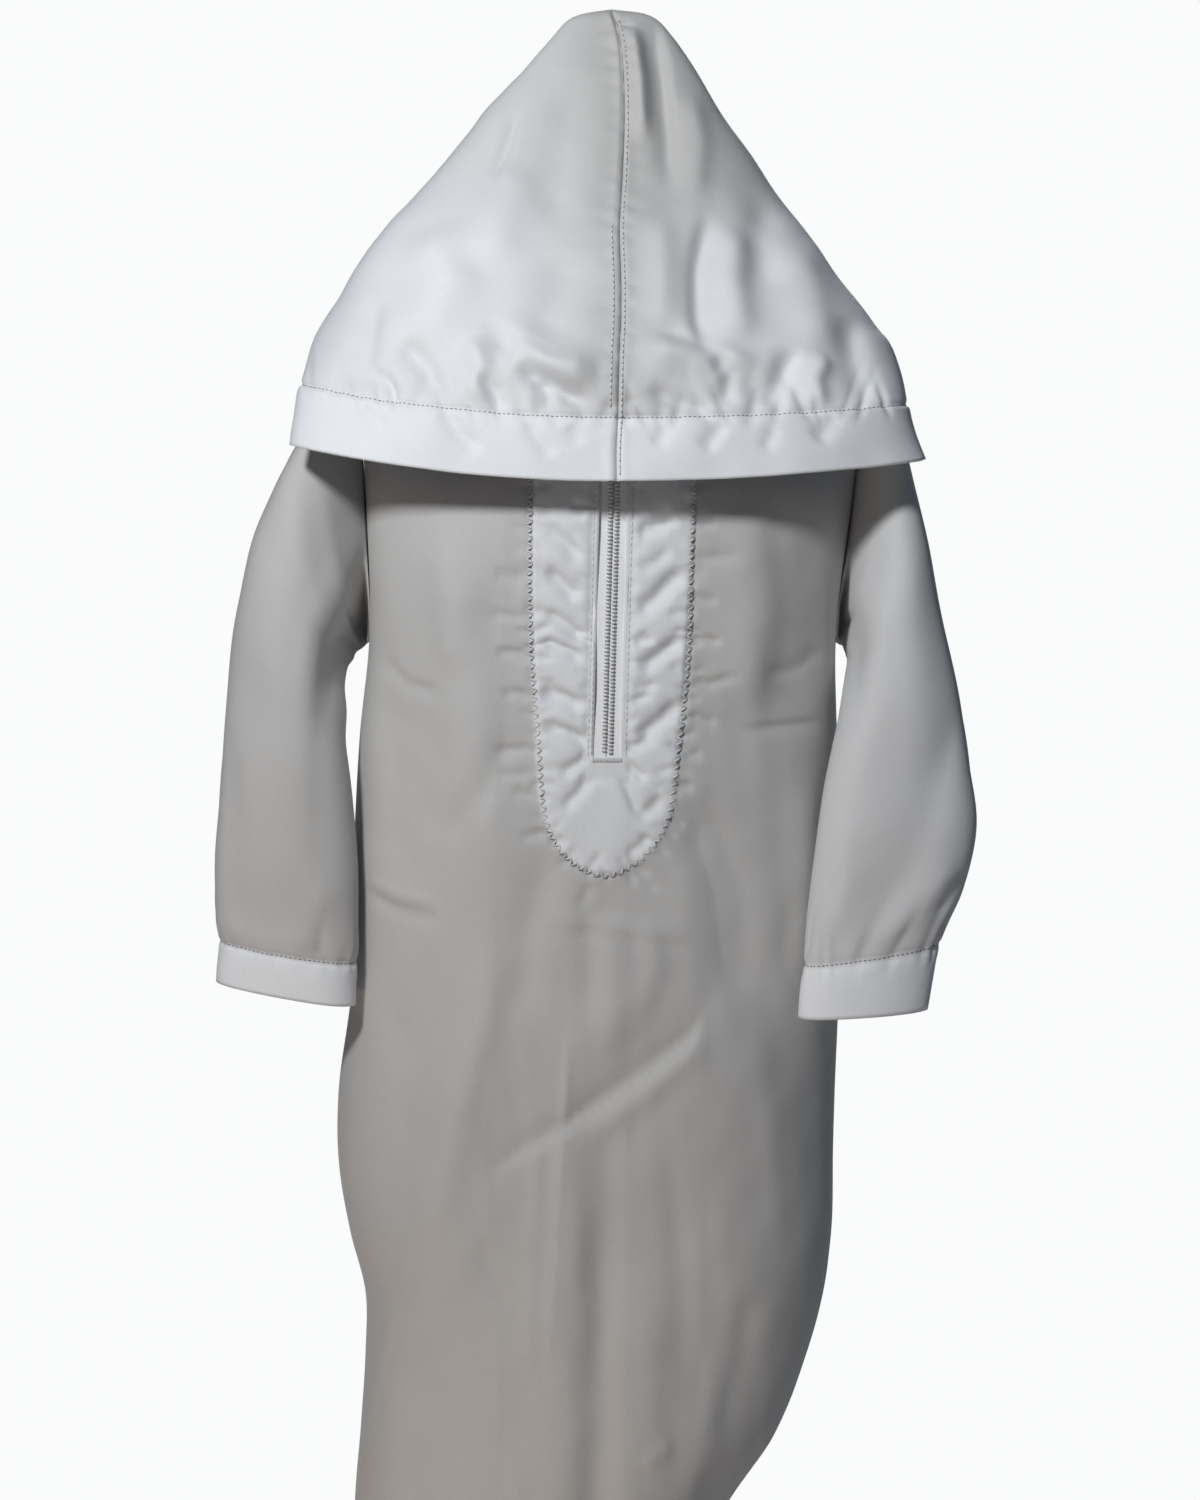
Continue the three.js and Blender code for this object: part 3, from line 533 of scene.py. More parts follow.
SKIRT_CREASES = [
    ([(-21, -486), (-24, -534), (-28, -602), (-31, -655)], 1.5, 9.0, 1.6, True, 0.2),
    ([(44, -478), (38, -490), (16, -507), (-22, -533), (-60, -556)], -3.4, 1.6, 11.0, True, 0.25),
    ([(44, -484), (36, -499), (16, -516), (-18, -541)], 1.6, 7.0, 3.0, False, 0.3),
    ([(-76, -236), (-72, -300), (-62, -360), (-50, -436)], 3.4, 15.0, 17.0),
    ([(-108, -320), (-100, -370), (-104, -420)], -2.4, 10.0, 10.0),
    ([(64, -236), (68, -290), (60, -340)], 3.2, 13.0, 15.0),
    ([(40, -372), (56, -420), (62, -476)], -2.8, 11.0, 12.0),
    ([(-30, -398), (-40, -440), (-44, -486)], -1.8, 8.0, 9.0),
    ([(0, -428), (2, -470), (-4, -500)], 2.2, 10.0, 12.0),
    ([(92, -360), (96, -420), (90, -480)], 2.0, 9.0, 9.0),
    ([(-48, -340), (-60, -372), (-82, -400)], -1.6, 6.0, 8.0),
    ([(-58, -440), (-62, -480), (-73, -524), (-95, -612)], 1.8, 8.0, 11.0),
    ([(-62, -588), (-57, -606), (-52, -624)], -0.9, 3.0, 5.0),
    ([(-35, -531), (-37, -590), (-40, -655)], 0.7, 3.0, 5.0),
    ([(-88, -583), (-100, -626), (-110, -665), (-120, -705)], -1.2, 1.6, 6.0, True, 0.2),
    ([(-96, -600), (-112, -655), (-124, -715)], 1.2, 6.0, 5.0),
    ([(-22, -598), (10, -599), (37, -597)], -0.35, 1.2, 2.4, True),
    ([(-120, -424), (-104, -431), (-82, -434)], -1.2, 2.0, 4.0),
    ([(-119, -418), (-104, -424), (-82, -427)], 0.8, 3.0, 3.0),
    ([(-34, -437), (0, -441), (42, -447)], -0.7, 1.6, 4.0, True),
    ([(-34, -432), (2, -436), (40, -441)], 0.5, 4.0, 3.0),
    ([(14, -694), (22, -690), (29, -686)], 0.9, 3.0, 4.0),
    ([(60, -480), (78, -540), (84, -600)], 1.4, 12.0, 10.0),
    ([(30, -560), (34, -610), (30, -660)], -0.9, 8.0, 8.0),
    ([(56, -640), (44, -690), (24, -740)], 1.6, 9.0, 9.0),
    ([(70, -610), (62, -650), (48, -690)], -1.1, 7.0, 7.0),
    ([(-70, -660), (-80, -710), (-86, -770)], -1.4, 8.0, 10.0),
    ([(-40, -690), (-52, -740), (-56, -790)], 1.3, 8.0, 8.0),
    ([(-100, -480), (-96, -510), (-104, -545)], -0.9, 7.0, 8.0),
    ([(88, -420), (84, -450), (92, -480)], -0.9, 7.0, 6.0),
    ([(-12, -425), (-8, -450), (-12, -476)], -1.1, 6.0, 7.0),
    ([(14, -430), (20, -455), (14, -482)], 1.2, 6.0, 7.0),
    ([(-90, -330), (-84, -362), (-92, -400)], -1.0, 8.0, 9.0),
    ([(70, -290), (66, -330), (74, -372)], 0.9, 8.0, 8.0),
    ([(-84, -250), (-72, -282), (-74, -320)], 1.1, 9.0, 9.0),
    ([(-112, -310), (-98, -322), (-80, -326)], -0.9, 3.0, 5.0),
    ([(104, -306), (88, -316), (72, -318)], -1.0, 3.0, 5.0),
]
ZIG_PATH = [
    (-37.7, -196),
    (-38.5, -234),
    (-38.7, -262),
    (-38.4, -300),
    (-36.2, -332),
    (-34.6, -352),
    (-33.4, -370),
    (-31.4, -385),
    (-27.5, -395.5),
    (-20.5, -404),
    (-12, -409.5),
    (-3, -411.5),
    (6, -409),
    (14, -403.5),
    (21.5, -395),
    (26.6, -384),
    (29, -372),
    (30.8, -358),
    (33.6, -335),
    (36.3, -305),
    (37.3, -270),
    (38, -240),
    (38.6, -196),
]


def dense(path, step=0.5):
    """A polyline through the points of a path, rounded at its corners."""
    points = np.array(path, float)
    along = np.concatenate([[0], np.cumsum(np.hypot(*np.diff(points, axis=0).T))])
    s = np.arange(0, along[-1], step)
    return np.stack([through(along, points[:, 0], s), through(along, points[:, 1], s)], 1)


ZIG_LINE = dense(ZIG_PATH)


def inside_placket(x, z):
    """1 inside the placket's stitching and 0 outside it."""
    t = np.clip((-366 - z) / (411 - 366), 0, 1)
    straight = np.clip((ZIP_TOP - z) / (ZIP_TOP + 366), 0, 1)
    half = lerp(38.5, 33.0, straight**2) * np.sqrt(np.maximum(0, 1 - t * t))
    away = half - np.abs(x - slit_centre(z))
    return smooth(away / 1.4 + 0.5) * (z > -411.5)


def zigzag_puckers(x, z):
    """Short valleys across the zigzag, uneven in spacing, length and depth."""
    rng = np.random.default_rng(12)
    total = np.zeros(np.shape(x))
    at = 6
    while at < len(ZIG_LINE) - 8:
        cx, cz = ZIG_LINE[at]
        ahead_x, ahead_z = ZIG_LINE[at + 6] - ZIG_LINE[at]
        size = math.hypot(ahead_x, ahead_z)
        out_x, out_z = -ahead_z / size, ahead_x / size
        lean = rng.uniform(-0.45, 0.45)
        inward, outward = rng.uniform(4, 12), rng.uniform(3, 10)
        start = (cx + outward * (-out_x + lean * out_z), cz + outward * (-out_z - lean * out_x))
        end = (cx + inward * (out_x + lean * out_z), cz + inward * (out_z - lean * out_x))
        total += crease(x, z, [start, (cx, cz), end], -rng.uniform(0.45, 1.15), rng.uniform(1.1, 2.0))
        at += int(rng.uniform(8, 20))
    return total


def zip_puckers(x, z):
    """Short valleys that run out from the topstitching beside the slit."""
    rng = np.random.default_rng(13)
    total = np.zeros(np.shape(x))
    for side in (-1, 1):
        at = -206.0
        while at > SLIT_FOOT:
            reach, drop = rng.uniform(5, 12), rng.uniform(-1, 6)
            near = slit_centre(at) + side * (SLIT_HALF + 2.0)
            far = (near + side * reach, at + drop)
            total += crease(x, z, [(near, at), far], -rng.uniform(0.4, 1.0), rng.uniform(1.1, 1.9))
            at -= rng.uniform(4.5, 11)
    return total


# How much each family of creases is scaled.
CREASE_SCALE = {"placket": 1.9, "outer": 1.7, "skirt": 1.35, "zigzag": 1.5, "zip": 1.3}
DEEPEST_BY_ZIP, DEEPEST = 0.12, 2.8  # how far a crease may go in beside the zip, and elsewhere in front
PLACKET_LIFT = 1.3  # how far the placket's area stands out, away from the zip


def front_relief(x, z):
    """How far the front's creases stand out, in millimetres."""
    near_zip = np.abs(x - slit_centre(z))
    scale = CREASE_SCALE
    total = scale["placket"] * creases(x, z, PLACKET_TROUGHS) + scale["outer"] * creases(x, z, OUTER_PUCKERS)
    lower = scale["skirt"] * creases(x, z, SKIRT_CREASES) + scale["zigzag"] * zigzag_puckers(x, z)
    total += lower + scale["zip"] * zip_puckers(x, z)
    below_zip = smooth((SLIT_FOOT - 9.0 - z) / 6.0)
    total += PLACKET_LIFT * inside_placket(x, z) * np.maximum(smooth((near_zip - 8.0) / 5.0), below_zip)
    free = np.maximum(smooth((near_zip - 9.0) / 3.5), below_zip)
    total = np.maximum(total, -lerp(DEEPEST_BY_ZIP, DEEPEST, free))
    away = np.full(np.broadcast(x, z).shape, 1e9)
    close = (np.abs(x) < 50) & (z > -425)
    if np.any(close):
        px, pz = np.broadcast_arrays(x, z)
        px, pz = px[close], pz[close]
        gap = np.full(px.shape, 1e9)
        for cx, cz in ZIG_LINE[::3]:
            gap = np.minimum(gap, np.hypot(px - cx, pz - cz))
        away[close] = gap
    total = total - 0.8 * np.exp(-((away / 1.4) ** 2)) + 0.35 * np.exp(-((away / 4.0) ** 2))
    edge = np.where(z > SLIT_FOOT, near_zip - SLIT_HALF, 99)
    total = total - 0.35 * np.exp(-(((edge - 2.6) / 1.0) ** 2)) + 0.25 * np.exp(-((edge / 1.4) ** 2))
    hem = z - (HEM_Z + 25)
    total = total - 0.4 * np.exp(-((hem / 1.4) ** 2))
    total += uneven(x, z, 5, 62, 0.5) + uneven(x * 2.2, z, 6, 30, 0.16)
    return total


BACK_CREASES = [
    ([(-70, -300), (-40, -330), (-10, -345)], -1.2, 3.0, 6.0),
    ([(78, -310), (46, -336), (14, -350)], -1.0, 3.0, 6.0),
    ([(-88, -420), (-60, -450), (-40, -500)], 1.4, 8.0, 6.0),
    ([(20, -430), (30, -500), (26, -570)], -1.2, 1.6, 7.0, True),
    ([(60, -560), (30, -590), (-20, -604)], -1.2, 2.0, 6.0, True),
    ([(-24, -520), (-30, -600), (-28, -690)], 0.9, 1.4, 6.0, True),
    ([(80, -470), (84, -540), (70, -610)], 1.5, 9.0, 9.0),
    ([(-96, -560), (-88, -620), (-96, -690)], -1.3, 8.0, 7.0),
    ([(30, -640), (20, -700), (6, -760)], 1.5, 8.0, 8.0),
    ([(-60, -680), (-64, -730), (-58, -790)], -1.2, 7.0, 8.0),
    ([(-104, -290), (-90, -306), (-70, -312)], -1.1, 3.0, 5.0),
    ([(106, -292), (88, -308), (70, -312)], -1.1, 3.0, 5.0),
    ([(-30, -200), (-34, -240), (-30, -290)], 1.2, 7.0, 8.0),
    ([(34, -196), (38, -236), (32, -280)], 1.1, 7.0, 8.0),
    ([(-100, -726), (-60, -733), (-16, -731)], -0.35, 1.2, 2.4, True),
]


def back_relief(x, z):
    total = creases(x, z, BACK_CREASES)
    hem = z - (HEM_Z + 25)
    total = total - 0.4 * np.exp(-((hem / 1.4) ** 2))
    return total + uneven(x, z, 15, 66, 0.35) + uneven(x * 2.0, z, 16, 34, 0.12)


def ring_columns(inner_step, outer_steps, inner_limit=60.0):
    """Columns of a panel, as distances from its centre at the shoulders: even, then round the side."""
    first = np.arange(SLIT_HALF, inner_limit, inner_step)
    turns = np.linspace(math.asin(inner_limit / TIP_X), math.pi / 2, outer_steps)
    half = np.concatenate([first, TIP_X * np.sin(turns)])
    middle = np.linspace(-SLIT_HALF, SLIT_HALF, 9)[1:-1]
    return np.concatenate([-half[::-1], middle, half])


def panel_rows(armhole_rows, steps):
    shares = (1 - np.cos(np.pi * np.linspace(0, 1, armhole_rows) ** 0.95)) / 2
    limits = [UNDER_Z, SLIT_FOOT, -430.0, HEM_Z]
    heights = [np.linspace(a, b, n + 1)[1:] for a, b, n in zip(limits, limits[1:], steps)]
    return shares, np.concatenate(heights)


def relieved(grid, relief, fade):
    """A grid with its creases, along its own normals."""
    return grid + grid_normals(grid) * (relief * fade)[..., None]


def body_front(cloth):
    columns = ring_columns(1.5, 34)
    shares, heights = panel_rows(76, (34, 44, 118))
    base = body_grid(-1, columns, shares, heights)
    x, z = base[..., 0], base[..., 2]
    fade = 1 - 0.85 * (np.abs(columns) / TIP_X) ** 10
    points = relieved(base, front_relief(x, z), np.broadcast_to(fade, x.shape))
    points[:, [0, -1], 1] -= 0.1
    shoulder = np.abs(columns) >= NECK_HALF - 1
    points[0, shoulder, 1] -= 0.5
    middle = (np.abs(columns[:-1]) <= SLIT_HALF + 0.01) & (np.abs(columns[1:]) <= SLIT_HALF + 0.01)
    cell_z = (z[1:, :-1] + z[:-1, 1:]) / 2
    keep = ~(middle[None, :] & (cell_z > SLIT_FOOT))
    ply = 1 - np.maximum(0.65 * inside_placket(x, z), 0.8 * smooth((HEM_Z + 25.5 - z) / 1.0))
    return wall("front", points, cloth, keep=keep, ply=ply), points


def body_back(cloth):
    columns = ring_columns(2.4, 30)
    shares, heights = panel_rows(50, (24, 26, 100))
    base = body_grid(1, columns, shares, heights)[:, ::-1]
    x, z = base[..., 0], base[..., 2]
    fade = 1 - 0.85 * (np.abs(columns[::-1]) / TIP_X) ** 10
    points = relieved(base, back_relief(x, z), np.broadcast_to(fade, x.shape))
    points[:, [0, -1], 1] += 0.1
    points[:, [0, -1], 0] += np.array([SEAM_STEP, -SEAM_STEP])
    shoulder = np.abs(columns[::-1]) >= NECK_HALF - 1
    points[0, shoulder, 1] += 0.5
    ply = 1 - smooth((HEM_Z + 25.5 - z) / 1.0)
    return wall("back", points, cloth, ply=ply), points


def inner_band(name, points, normals, cloth, material_gap=GAP, wraps=False):
    """A ply turned in behind a band of the outer one."""
    outer = -PLY - material_gap
    return wall(name, points, cloth, outer=outer, inner=outer - PLY, normals=normals, wraps=wraps, ply=0.0)


def strip(name, heights, left, right, steps, outer, inner, cloth, ply=0.0, keep=None):
    """A strip that follows the front's smooth surface between two edges."""
    z = np.asarray(heights, float)[:, None]
    share = np.linspace(0, 1, steps + 1)[None, :]
    x = lerp(left(z), right(z), share)
    _, top_z = top_edge(x, -1)
    points = body_point(x, x, np.minimum(z, top_z - 0.5), -1)
    return wall(name, points, cloth, outer=outer, inner=inner, ply=ply, keep=keep)


def placket(cloth):
    """The inside ply behind the slit: straight sides, then a U, slit like the front."""
    arc = np.sin(np.linspace(0, 1, 18)[1:-1] * math.pi / 2)
    low = -366 - arc * 45
    heights = np.concatenate([np.linspace(ZIP_TOP - 2, SLIT_FOOT, 60), [-361, -366], low])
    z = heights[:, None]
    t = np.clip((-366 - z) / 45, 0, 1)
    straight = np.clip((ZIP_TOP - z) / (ZIP_TOP + 366), 0, 1)
    half = lerp(38.5, 33.0, straight**2) * np.sqrt(1 - t * t)
    slit = np.minimum(SLIT_HALF, half * 0.5)
    share = np.linspace(0, 1, 12)[None, :]
    offsets = np.concatenate([lerp(-half, -slit, share), lerp(slit, half, share)], 1)
    x = slit_centre(z) + offsets
    _, top_z = top_edge(x, -1)
    points = body_point(x, x, np.minimum(z, top_z - 2), -1)
    keep = np.ones((len(heights) - 1, offsets.shape[1] - 1), bool)
    keep[:59, 11] = False
    outer = TAPE_FACE - 1 - 2 * GAP
    return wall("placket_ply", points, cloth, outer=outer, inner=outer - 0.9, keep=keep, ply=0.0)


# The sleeves --------------------------------------------------------------------------------------------

SLEEVE_ROUND = 112
RECESS = 26.0  # how far the sleeve's inner side lies back from its ridge, near the armhole
CUFF_ROW = 10  # the cuff's stitching line, counted with the armhole as row 0


def armhole_ring(side):
    """Down the armhole's front edge, then up its back edge, just outside the panels."""
    half = SLEEVE_ROUND // 2
    shares = (1 - np.cos(np.pi * np.linspace(0, 1, half + 1))) / 2
    edge = np.array([side * TIP_X])
    front = body_grid(-1, edge, shares, np.array([]))[:, 0]
    back = body_grid(1, edge, shares, np.array([]))[:, 0]
    ring = np.concatenate([front, back[1:-1][::-1]])
    ring[: half + 1, 0] += side * SEAM_STEP
    ring[half + 1 :, 0] += side * 2 * SEAM_STEP
    return ring


def sleeve_ring(row):
    turn = 2 * np.pi * np.arange(SLEEVE_ROUND) / SLEEVE_ROUND
    c, s = np.cos(turn), np.sin(turn)
    squarer = lambda v: np.sign(v) * np.abs(v) ** (2 / ROUNDNESS)
    plain = (1 - squarer(c)) / 2
    share = plain + row["ridge"] * np.maximum(0, s) * np.sin(np.pi * plain)
    x = lerp(row["outer_x"], row["inner_x"], share)
    z = lerp(row["outer_z"], row["inner_z"], share)
    return np.stack([x, row["mid_y"] - row["depth"] * squarer(s), z], 1)


# Creases of a sleeve: a path of (turn in degrees from the outer edge round the front, rows from the
# armhole), a height, and half-widths in millimetres.
SLEEVE_CREASES = {
    -1: [
        ([(100, 0.6), (104, 3.0), (108, 6.0)], 2.6, 5, 9),
        ([(60, 2.0), (75, 5.0), (95, 8.5)], 1.4, 8, 10),
        ([(110, 3.0), (118, 6.0), (112, 9.0)], -1.2, 6, 9),
        ([(30, 6.5), (45, 8.0), (55, 9.6)], -1.4, 6, 7),
        ([(120, 8.2), (104, 9.0), (100, 9.8)], 1.3, 6, 6),
        ([(150, 0.4), (130, 1.4), (100, 2.0)], -1.6, 4, 6),
        ([(165, 1.6), (140, 2.4), (120, 3.4)], -1.2, 4, 6),
        ([(230, 1.0), (250, 4.0), (240, 8.0)], 1.6, 9, 9),
        ([(300, 2.0), (290, 5.0), (305, 9.0)], -1.5, 8, 9),
    ],
    1: [
        ([(104, 0.6), (106, 3.0), (112, 6.0)], 2.6, 5, 9),
        ([(70, 1.5), (62, 4.0), (75, 7.0)], 1.3, 8, 9),
        ([(115, 2.5), (100, 5.0), (92, 7.5)], -1.1, 7, 9),
        ([(30, 6.0), (60, 7.2), (96, 9.6)], -1.9, 6, 8),
        ([(40, 8.4), (62, 9.0), (84, 9.8)], 1.5, 5, 6),
        ([(20, 8.6), (44, 9.4)], -1.3, 4, 5),
        ([(150, 0.4), (132, 1.4), (112, 2.2)], -1.6, 4, 6),
        ([(130, 7.5), (120, 8.6), (126, 9.6)], 1.2, 6, 7),
        ([(235, 1.0), (245, 4.0), (238, 8.0)], 1.6, 9, 9),
        ([(300, 2.0), (292, 5.0), (300, 9.0)], -1.4, 8, 9),
    ],
}
SLEEVE_DEGREE = 0.42  # about how many millimetres of cloth one degree is
SLEEVE_ROW = 27.0  # and one row
CUFF_ROW_HEIGHT = 18.0  # and one row near the cuff, where the rows lie closer
SLEEVE_PAINTED_TONE = {-1: 1.0, 1: 0.65}  # how far each sleeve's colour goes towards the single ply's darker one: the left's is the cloth's own, the right's is painted lighter, painted light set to the photo's tone


def sleeve_relief(side, turns, rows):
    x = turns * SLEEVE_DEGREE
    z = rows * SLEEVE_ROW
    total = np.zeros(np.broadcast(x, z).shape)
    for path, height, left, right in SLEEVE_CREASES[side]:
        placed = [(turn * SLEEVE_DEGREE, row * SLEEVE_ROW) for turn, row in path]
        total += crease(x, z, placed, height, left, right)
    rng = np.random.default_rng(40 + side)
    at = 4.0
    above = (CUFF_ROW - rows) * CUFF_ROW_HEIGHT
    while at < 356:
        wide = rng.uniform(1.4, 3.0)
        long = rng.uniform(7, 20)
        deep = rng.uniform(0.5, 1.5)
        drift = rng.uniform(-0.35, 0.35)
        away = (x - at * SLEEVE_DEGREE - drift * above) / wide
        fall = np.where(above >= 0, np.exp(-((above / long) ** 2)), np.exp(-((above / 4.0) ** 2)))
        total -= deep * np.exp(-away * away) * fall
        at += rng.uniform(9, 24)
    total -= 0.9 * np.exp(-((above / 1.1) ** 2))
    total += uneven(x, z, 30 + side, 50, 0.5)
    return total * smooth(rows * 2.5)


def sleeve(side, cloth):
    table_rows = SLEEVES[side]
    rings = [armhole_ring(side)]
    for n in range(len(table_rows["depth"])):
        rings.append(sleeve_ring({name: values[n] for name, values in table_rows.items()}))
    rings = np.array(rings)
    steps = np.concatenate([np.linspace(0, 10, 121), np.linspace(10, 11, 13)[1:]])
    base = through(np.arange(len(rings), dtype=float), rings, steps)
    around = 2 * np.pi * np.arange(SLEEVE_ROUND) / SLEEVE_ROUND
    inner = smooth(-1.3 * np.cos(around)) * (1 - np.maximum(0, -np.sin(around)))
    near_armhole = smooth(steps * 2) * smooth((7 - steps) / 4)
    base[..., 1] += RECESS * near_armhole[:, None] * inner[None, :]
    turns = (360.0 * np.arange(SLEEVE_ROUND) / SLEEVE_ROUND)[None, :]
    relief = sleeve_relief(side, turns, steps[:, None])
    if side > 0:
        base, relief = base[:, ::-1], relief[:, ::-1]
    points = base + grid_normals(base, True) * relief[..., None]
    ply = 1 - smooth((steps - CUFF_ROW) / 0.06 + 0.5)[:, None]
    name = "sleeve_" + ("left" if side < 0 else "right") + "_cloth"
    # The right sleeve's colour is painted lighter, painted light; the doubled cuff's lighter colour is the
    # cloth's own.
    return wall(name, points, cloth, wraps=True, ply=ply * SLEEVE_PAINTED_TONE[side]), points, steps


# The hood -----------------------------------------------------------------------------------------------

HOOD_FRONT_STEPS = 124
HOOD_BACK_STEPS = 40


def hood_section(n, side):
    """One section of a half of the hood, from the centre front seam round the fold to its end."""
    row = {name: values[n] for name, values in HOOD.items()}
    name = "left" if side < 0 else "right"
    fold_x, fold_z = row[name + "_x"], row[name + "_z"]
    across = np.sin(np.linspace(0, math.pi / 2, HOOD_FRONT_STEPS + 1))
    ahead = np.maximum(0, 1 - across**ROUNDNESS) ** (1 / ROUNDNESS)
    x = lerp(row["seam_x"] + side * SEAM_GAP, fold_x, across)
    facing_y = lerp(row["fold_y"], row["front_y"], ahead)
    facing_z = lerp(row["front_z"], fold_z, across**2)
    front = np.stack([x, facing_y, facing_z], 1)
    neck_x, neck_y, neck_z = neck_point(math.radians(row["turn"]), side)
    neck_z = neck_z + 1.4
    on_neck = row["turn"] > 0
    end_x = neck_x if on_neck else row["seam_x"] * 0.5 + side * SEAM_GAP
    end_y = neck_y if on_neck else row["back_y"]
    end_z = neck_z if on_neck else max(fold_z, NECK_Z + NECK_RISE + 0.8)
    t = np.linspace(0, 1, HOOD_BACK_STEPS + 1)[1:]
    late = 1 - np.cos(t * math.pi / 2)
    y = row["fold_y"] + (end_y - row["fold_y"]) * lerp(late, np.sin(t * math.pi / 2), row["wrap"])
    y = y + 6 * (1 - row["wrap"]) * np.sin(np.pi * t)
    z = lerp(fold_z, end_z, t) - row["sag"] * np.sin(np.pi * t)
    back = np.stack([lerp(fold_x, end_x, late), y, z], 1)
    return np.concatenate([front, back])


def hem_line_z(x):
    """The height of the hood's stitching line, which sags towards its middle."""
    left = lerp(-196, -180.3, np.clip(-x / 146.7, 0, 1) ** 2)
    right = lerp(-196, -189.7, np.clip(x / 139.7, 0, 1) ** 2)
    return np.where(x < 0, left, right)


HOOD_CREASES = [
    ([(9, -6), (13, -34), (15, -66)], 3.4, 4.0, 4.5),
    ([(20, -4), (24, -34), (27, -63), (28, -90)], -2.8, 3.2, 6.0),
    ([(36, -40), (41, -66), (38, -96)], 2.0, 6.0, 8.0),
    ([(46, -100), (40, -126), (40, -148), (44, -168)], -3.6, 6.0, 4.5),
    ([(58, -104), (56, -132), (60, -164)], 3.0, 8.0, 9.0),
    ([(22, -100), (24, -130), (22, -158)], 2.0, 7.0, 7.0),
    ([(-45, -50), (-50, -68), (-57, -85)], -1.4, 2.5, 4.0),
    ([(-16, -30), (-24, -70), (-30, -110)], -2.0, 9.0, 12.0),
    ([(-44, -74), (-52, -100), (-56, -128)], 2.4, 11.0, 14.0),
    ([(-86, -104), (-78, -132), (-88, -166)], 3.6, 13.0, 15.0),
    ([(-22, -118), (-24, -140), (-34, -160)], -3.4, 12.0, 12.0),
    ([(-112, -138), (-114, -160), (-120, -186)], -2.6, 6.0, 8.0),
    ([(84, -112), (92, -140), (98, -168)], 2.6, 10.0, 12.0),
    ([(76, -90), (70, -112), (72, -140)], -2.0, 8.0, 9.0),
    ([(112, -146), (114, -168), (120, -192)], -2.4, 6.0, 8.0),
    ([(-52, -164), (-30, -173), (-6, -176)], 4.6, 8.0, 9.0),
    ([(-60, -150), (-36, -176), (-5, -193)], -2.6, 5.0, 6.0),
    ([(-44, -172), (-28, -180), (-12, -190)], -3.2, 3.6, 4.0),
    ([(-62, -176), (-54, -184), (-50, -194)], -2.6, 3.0, 4.0),
    ([(-34, -178), (-30, -186), (-31, -195)], -2.2, 3.0, 4.0),
    ([(-112, -172), (-104, -180), (-100, -188)], -2.0, 3.0, 5.0),
    ([(12, -166), (36, -166), (66, -176)], 4.6, 8.0, 9.0),
    ([(14, -150), (44, -166), (76, -188)], -2.4, 4.5, 6.0),
    ([(16, -182), (28, -188), (46, -194)], -2.6, 4.0, 4.0),
    ([(46, -168), (54, -176), (52, -192)], -2.4, 4.0, 5.0),
    ([(-98, -160), (-86, -172), (-80, -186)], -2.6, 4.0, 6.0),
    ([(86, -164), (78, -178), (72, -192)], -2.8, 4.0, 6.0),
    ([(-66, -158), (-60, -174), (-64, -190)], 2.6, 5.0, 6.0),
    ([(100, -166), (94, -178), (96, -192)], 2.2, 5.0, 6.0),
    ([(-78, -192), (-70, -204), (-60, -212)], -1.5, 3.6, 5.0),
    ([(-40, -198), (-34, -206), (-26, -214)], -1.2, 3.0, 4.0),
    ([(-20, -200), (-14, -208)], -0.9, 3.0, 4.0),
    ([(52, -198), (42, -212)], -1.4, 3.0, 5.0),
    ([(104, -194), (94, -208)], -1.4, 4.0, 5.0),
    ([(26, -200), (20, -210)], -1.2, 3.0, 4.0),
    ([(76, -200), (70, -212)], -1.0, 3.0, 4.0),
    ([(-116, -190), (-104, -204)], -1.2, 4.0, 5.0),
]


def hood_relief(x, z, seam_x, front_share):
    """The hood's creases, seen from the front; front_share fades them out behind the side fold."""
    total = 1.4 * creases(x, z, HOOD_CREASES)
    off = x - seam_x
    total = total - 2.1 * np.exp(-((off / 1.3) ** 2)) + 0.9 * np.exp(-((off / 4.5) ** 2))
    rng = np.random.default_rng(21)
    at = -8.0
    while at > -208:
        for hand in (-1, 1):
            reach = rng.uniform(3.5, 8.0)
            deep = rng.uniform(0.8, 1.9)
            z_at = at + hand * rng.uniform(0, 2.0)
            slope = rng.uniform(-0.3, 0.3)
            beside = np.where(off * hand > 0, np.exp(-(((np.abs(off) - 2.0) / reach) ** 2)), 0)
            total -= deep * beside * np.exp(-(((z - z_at - slope * np.abs(off)) / 1.9) ** 2))
        at -= rng.uniform(6.5, 12.5)
    line = hem_line_z(x)
    above = z - line
    at = -142.0
    while at < 140:
        wide = rng.uniform(1.4, 3.0)
        long = rng.uniform(7, 20)
        deep = rng.uniform(0.6, 2.1)
        drift = rng.uniform(-0.55, 0.55)
        away = (x - at - drift * above) / wide
        fall = np.where(above >= 0, np.exp(-((above / long) ** 2)), np.exp(-((above / 4.5) ** 2)))
        total -= deep * np.exp(-away * away) * fall
        at += rng.uniform(5.0, 14.0)
    total -= 1.1 * np.exp(-((above / 1.2) ** 2)) - 0.8 * smooth(-above / 1.0) * (above > -30)
    total += uneven(x, z, 22, 58, 0.6) + uneven(x, z, 23, 24, 0.15)
    return total * front_share


def hood_back_relief(t, z):
    """Soft folds of the hood's back, by the share of the way from the side fold to the end."""
    total = 1.6 * np.sin(t * 9 + z * 0.035) * smooth(t * 2) * smooth((1 - t) * 3)
    total += 1.0 * np.sin(t * 15 - z * 0.06 + 1.3) * smooth(t * 2) * smooth((1 - t) * 3)
    near_neck = np.exp(-(((1 - t) * 60 / 7.0) ** 2)) * (z < -140)
    gathers = 0.7 * np.sin(z * 0.9 + 2 * np.sin(z * 0.23)) * near_neck
    return total * smooth(-z / 60) + gathers


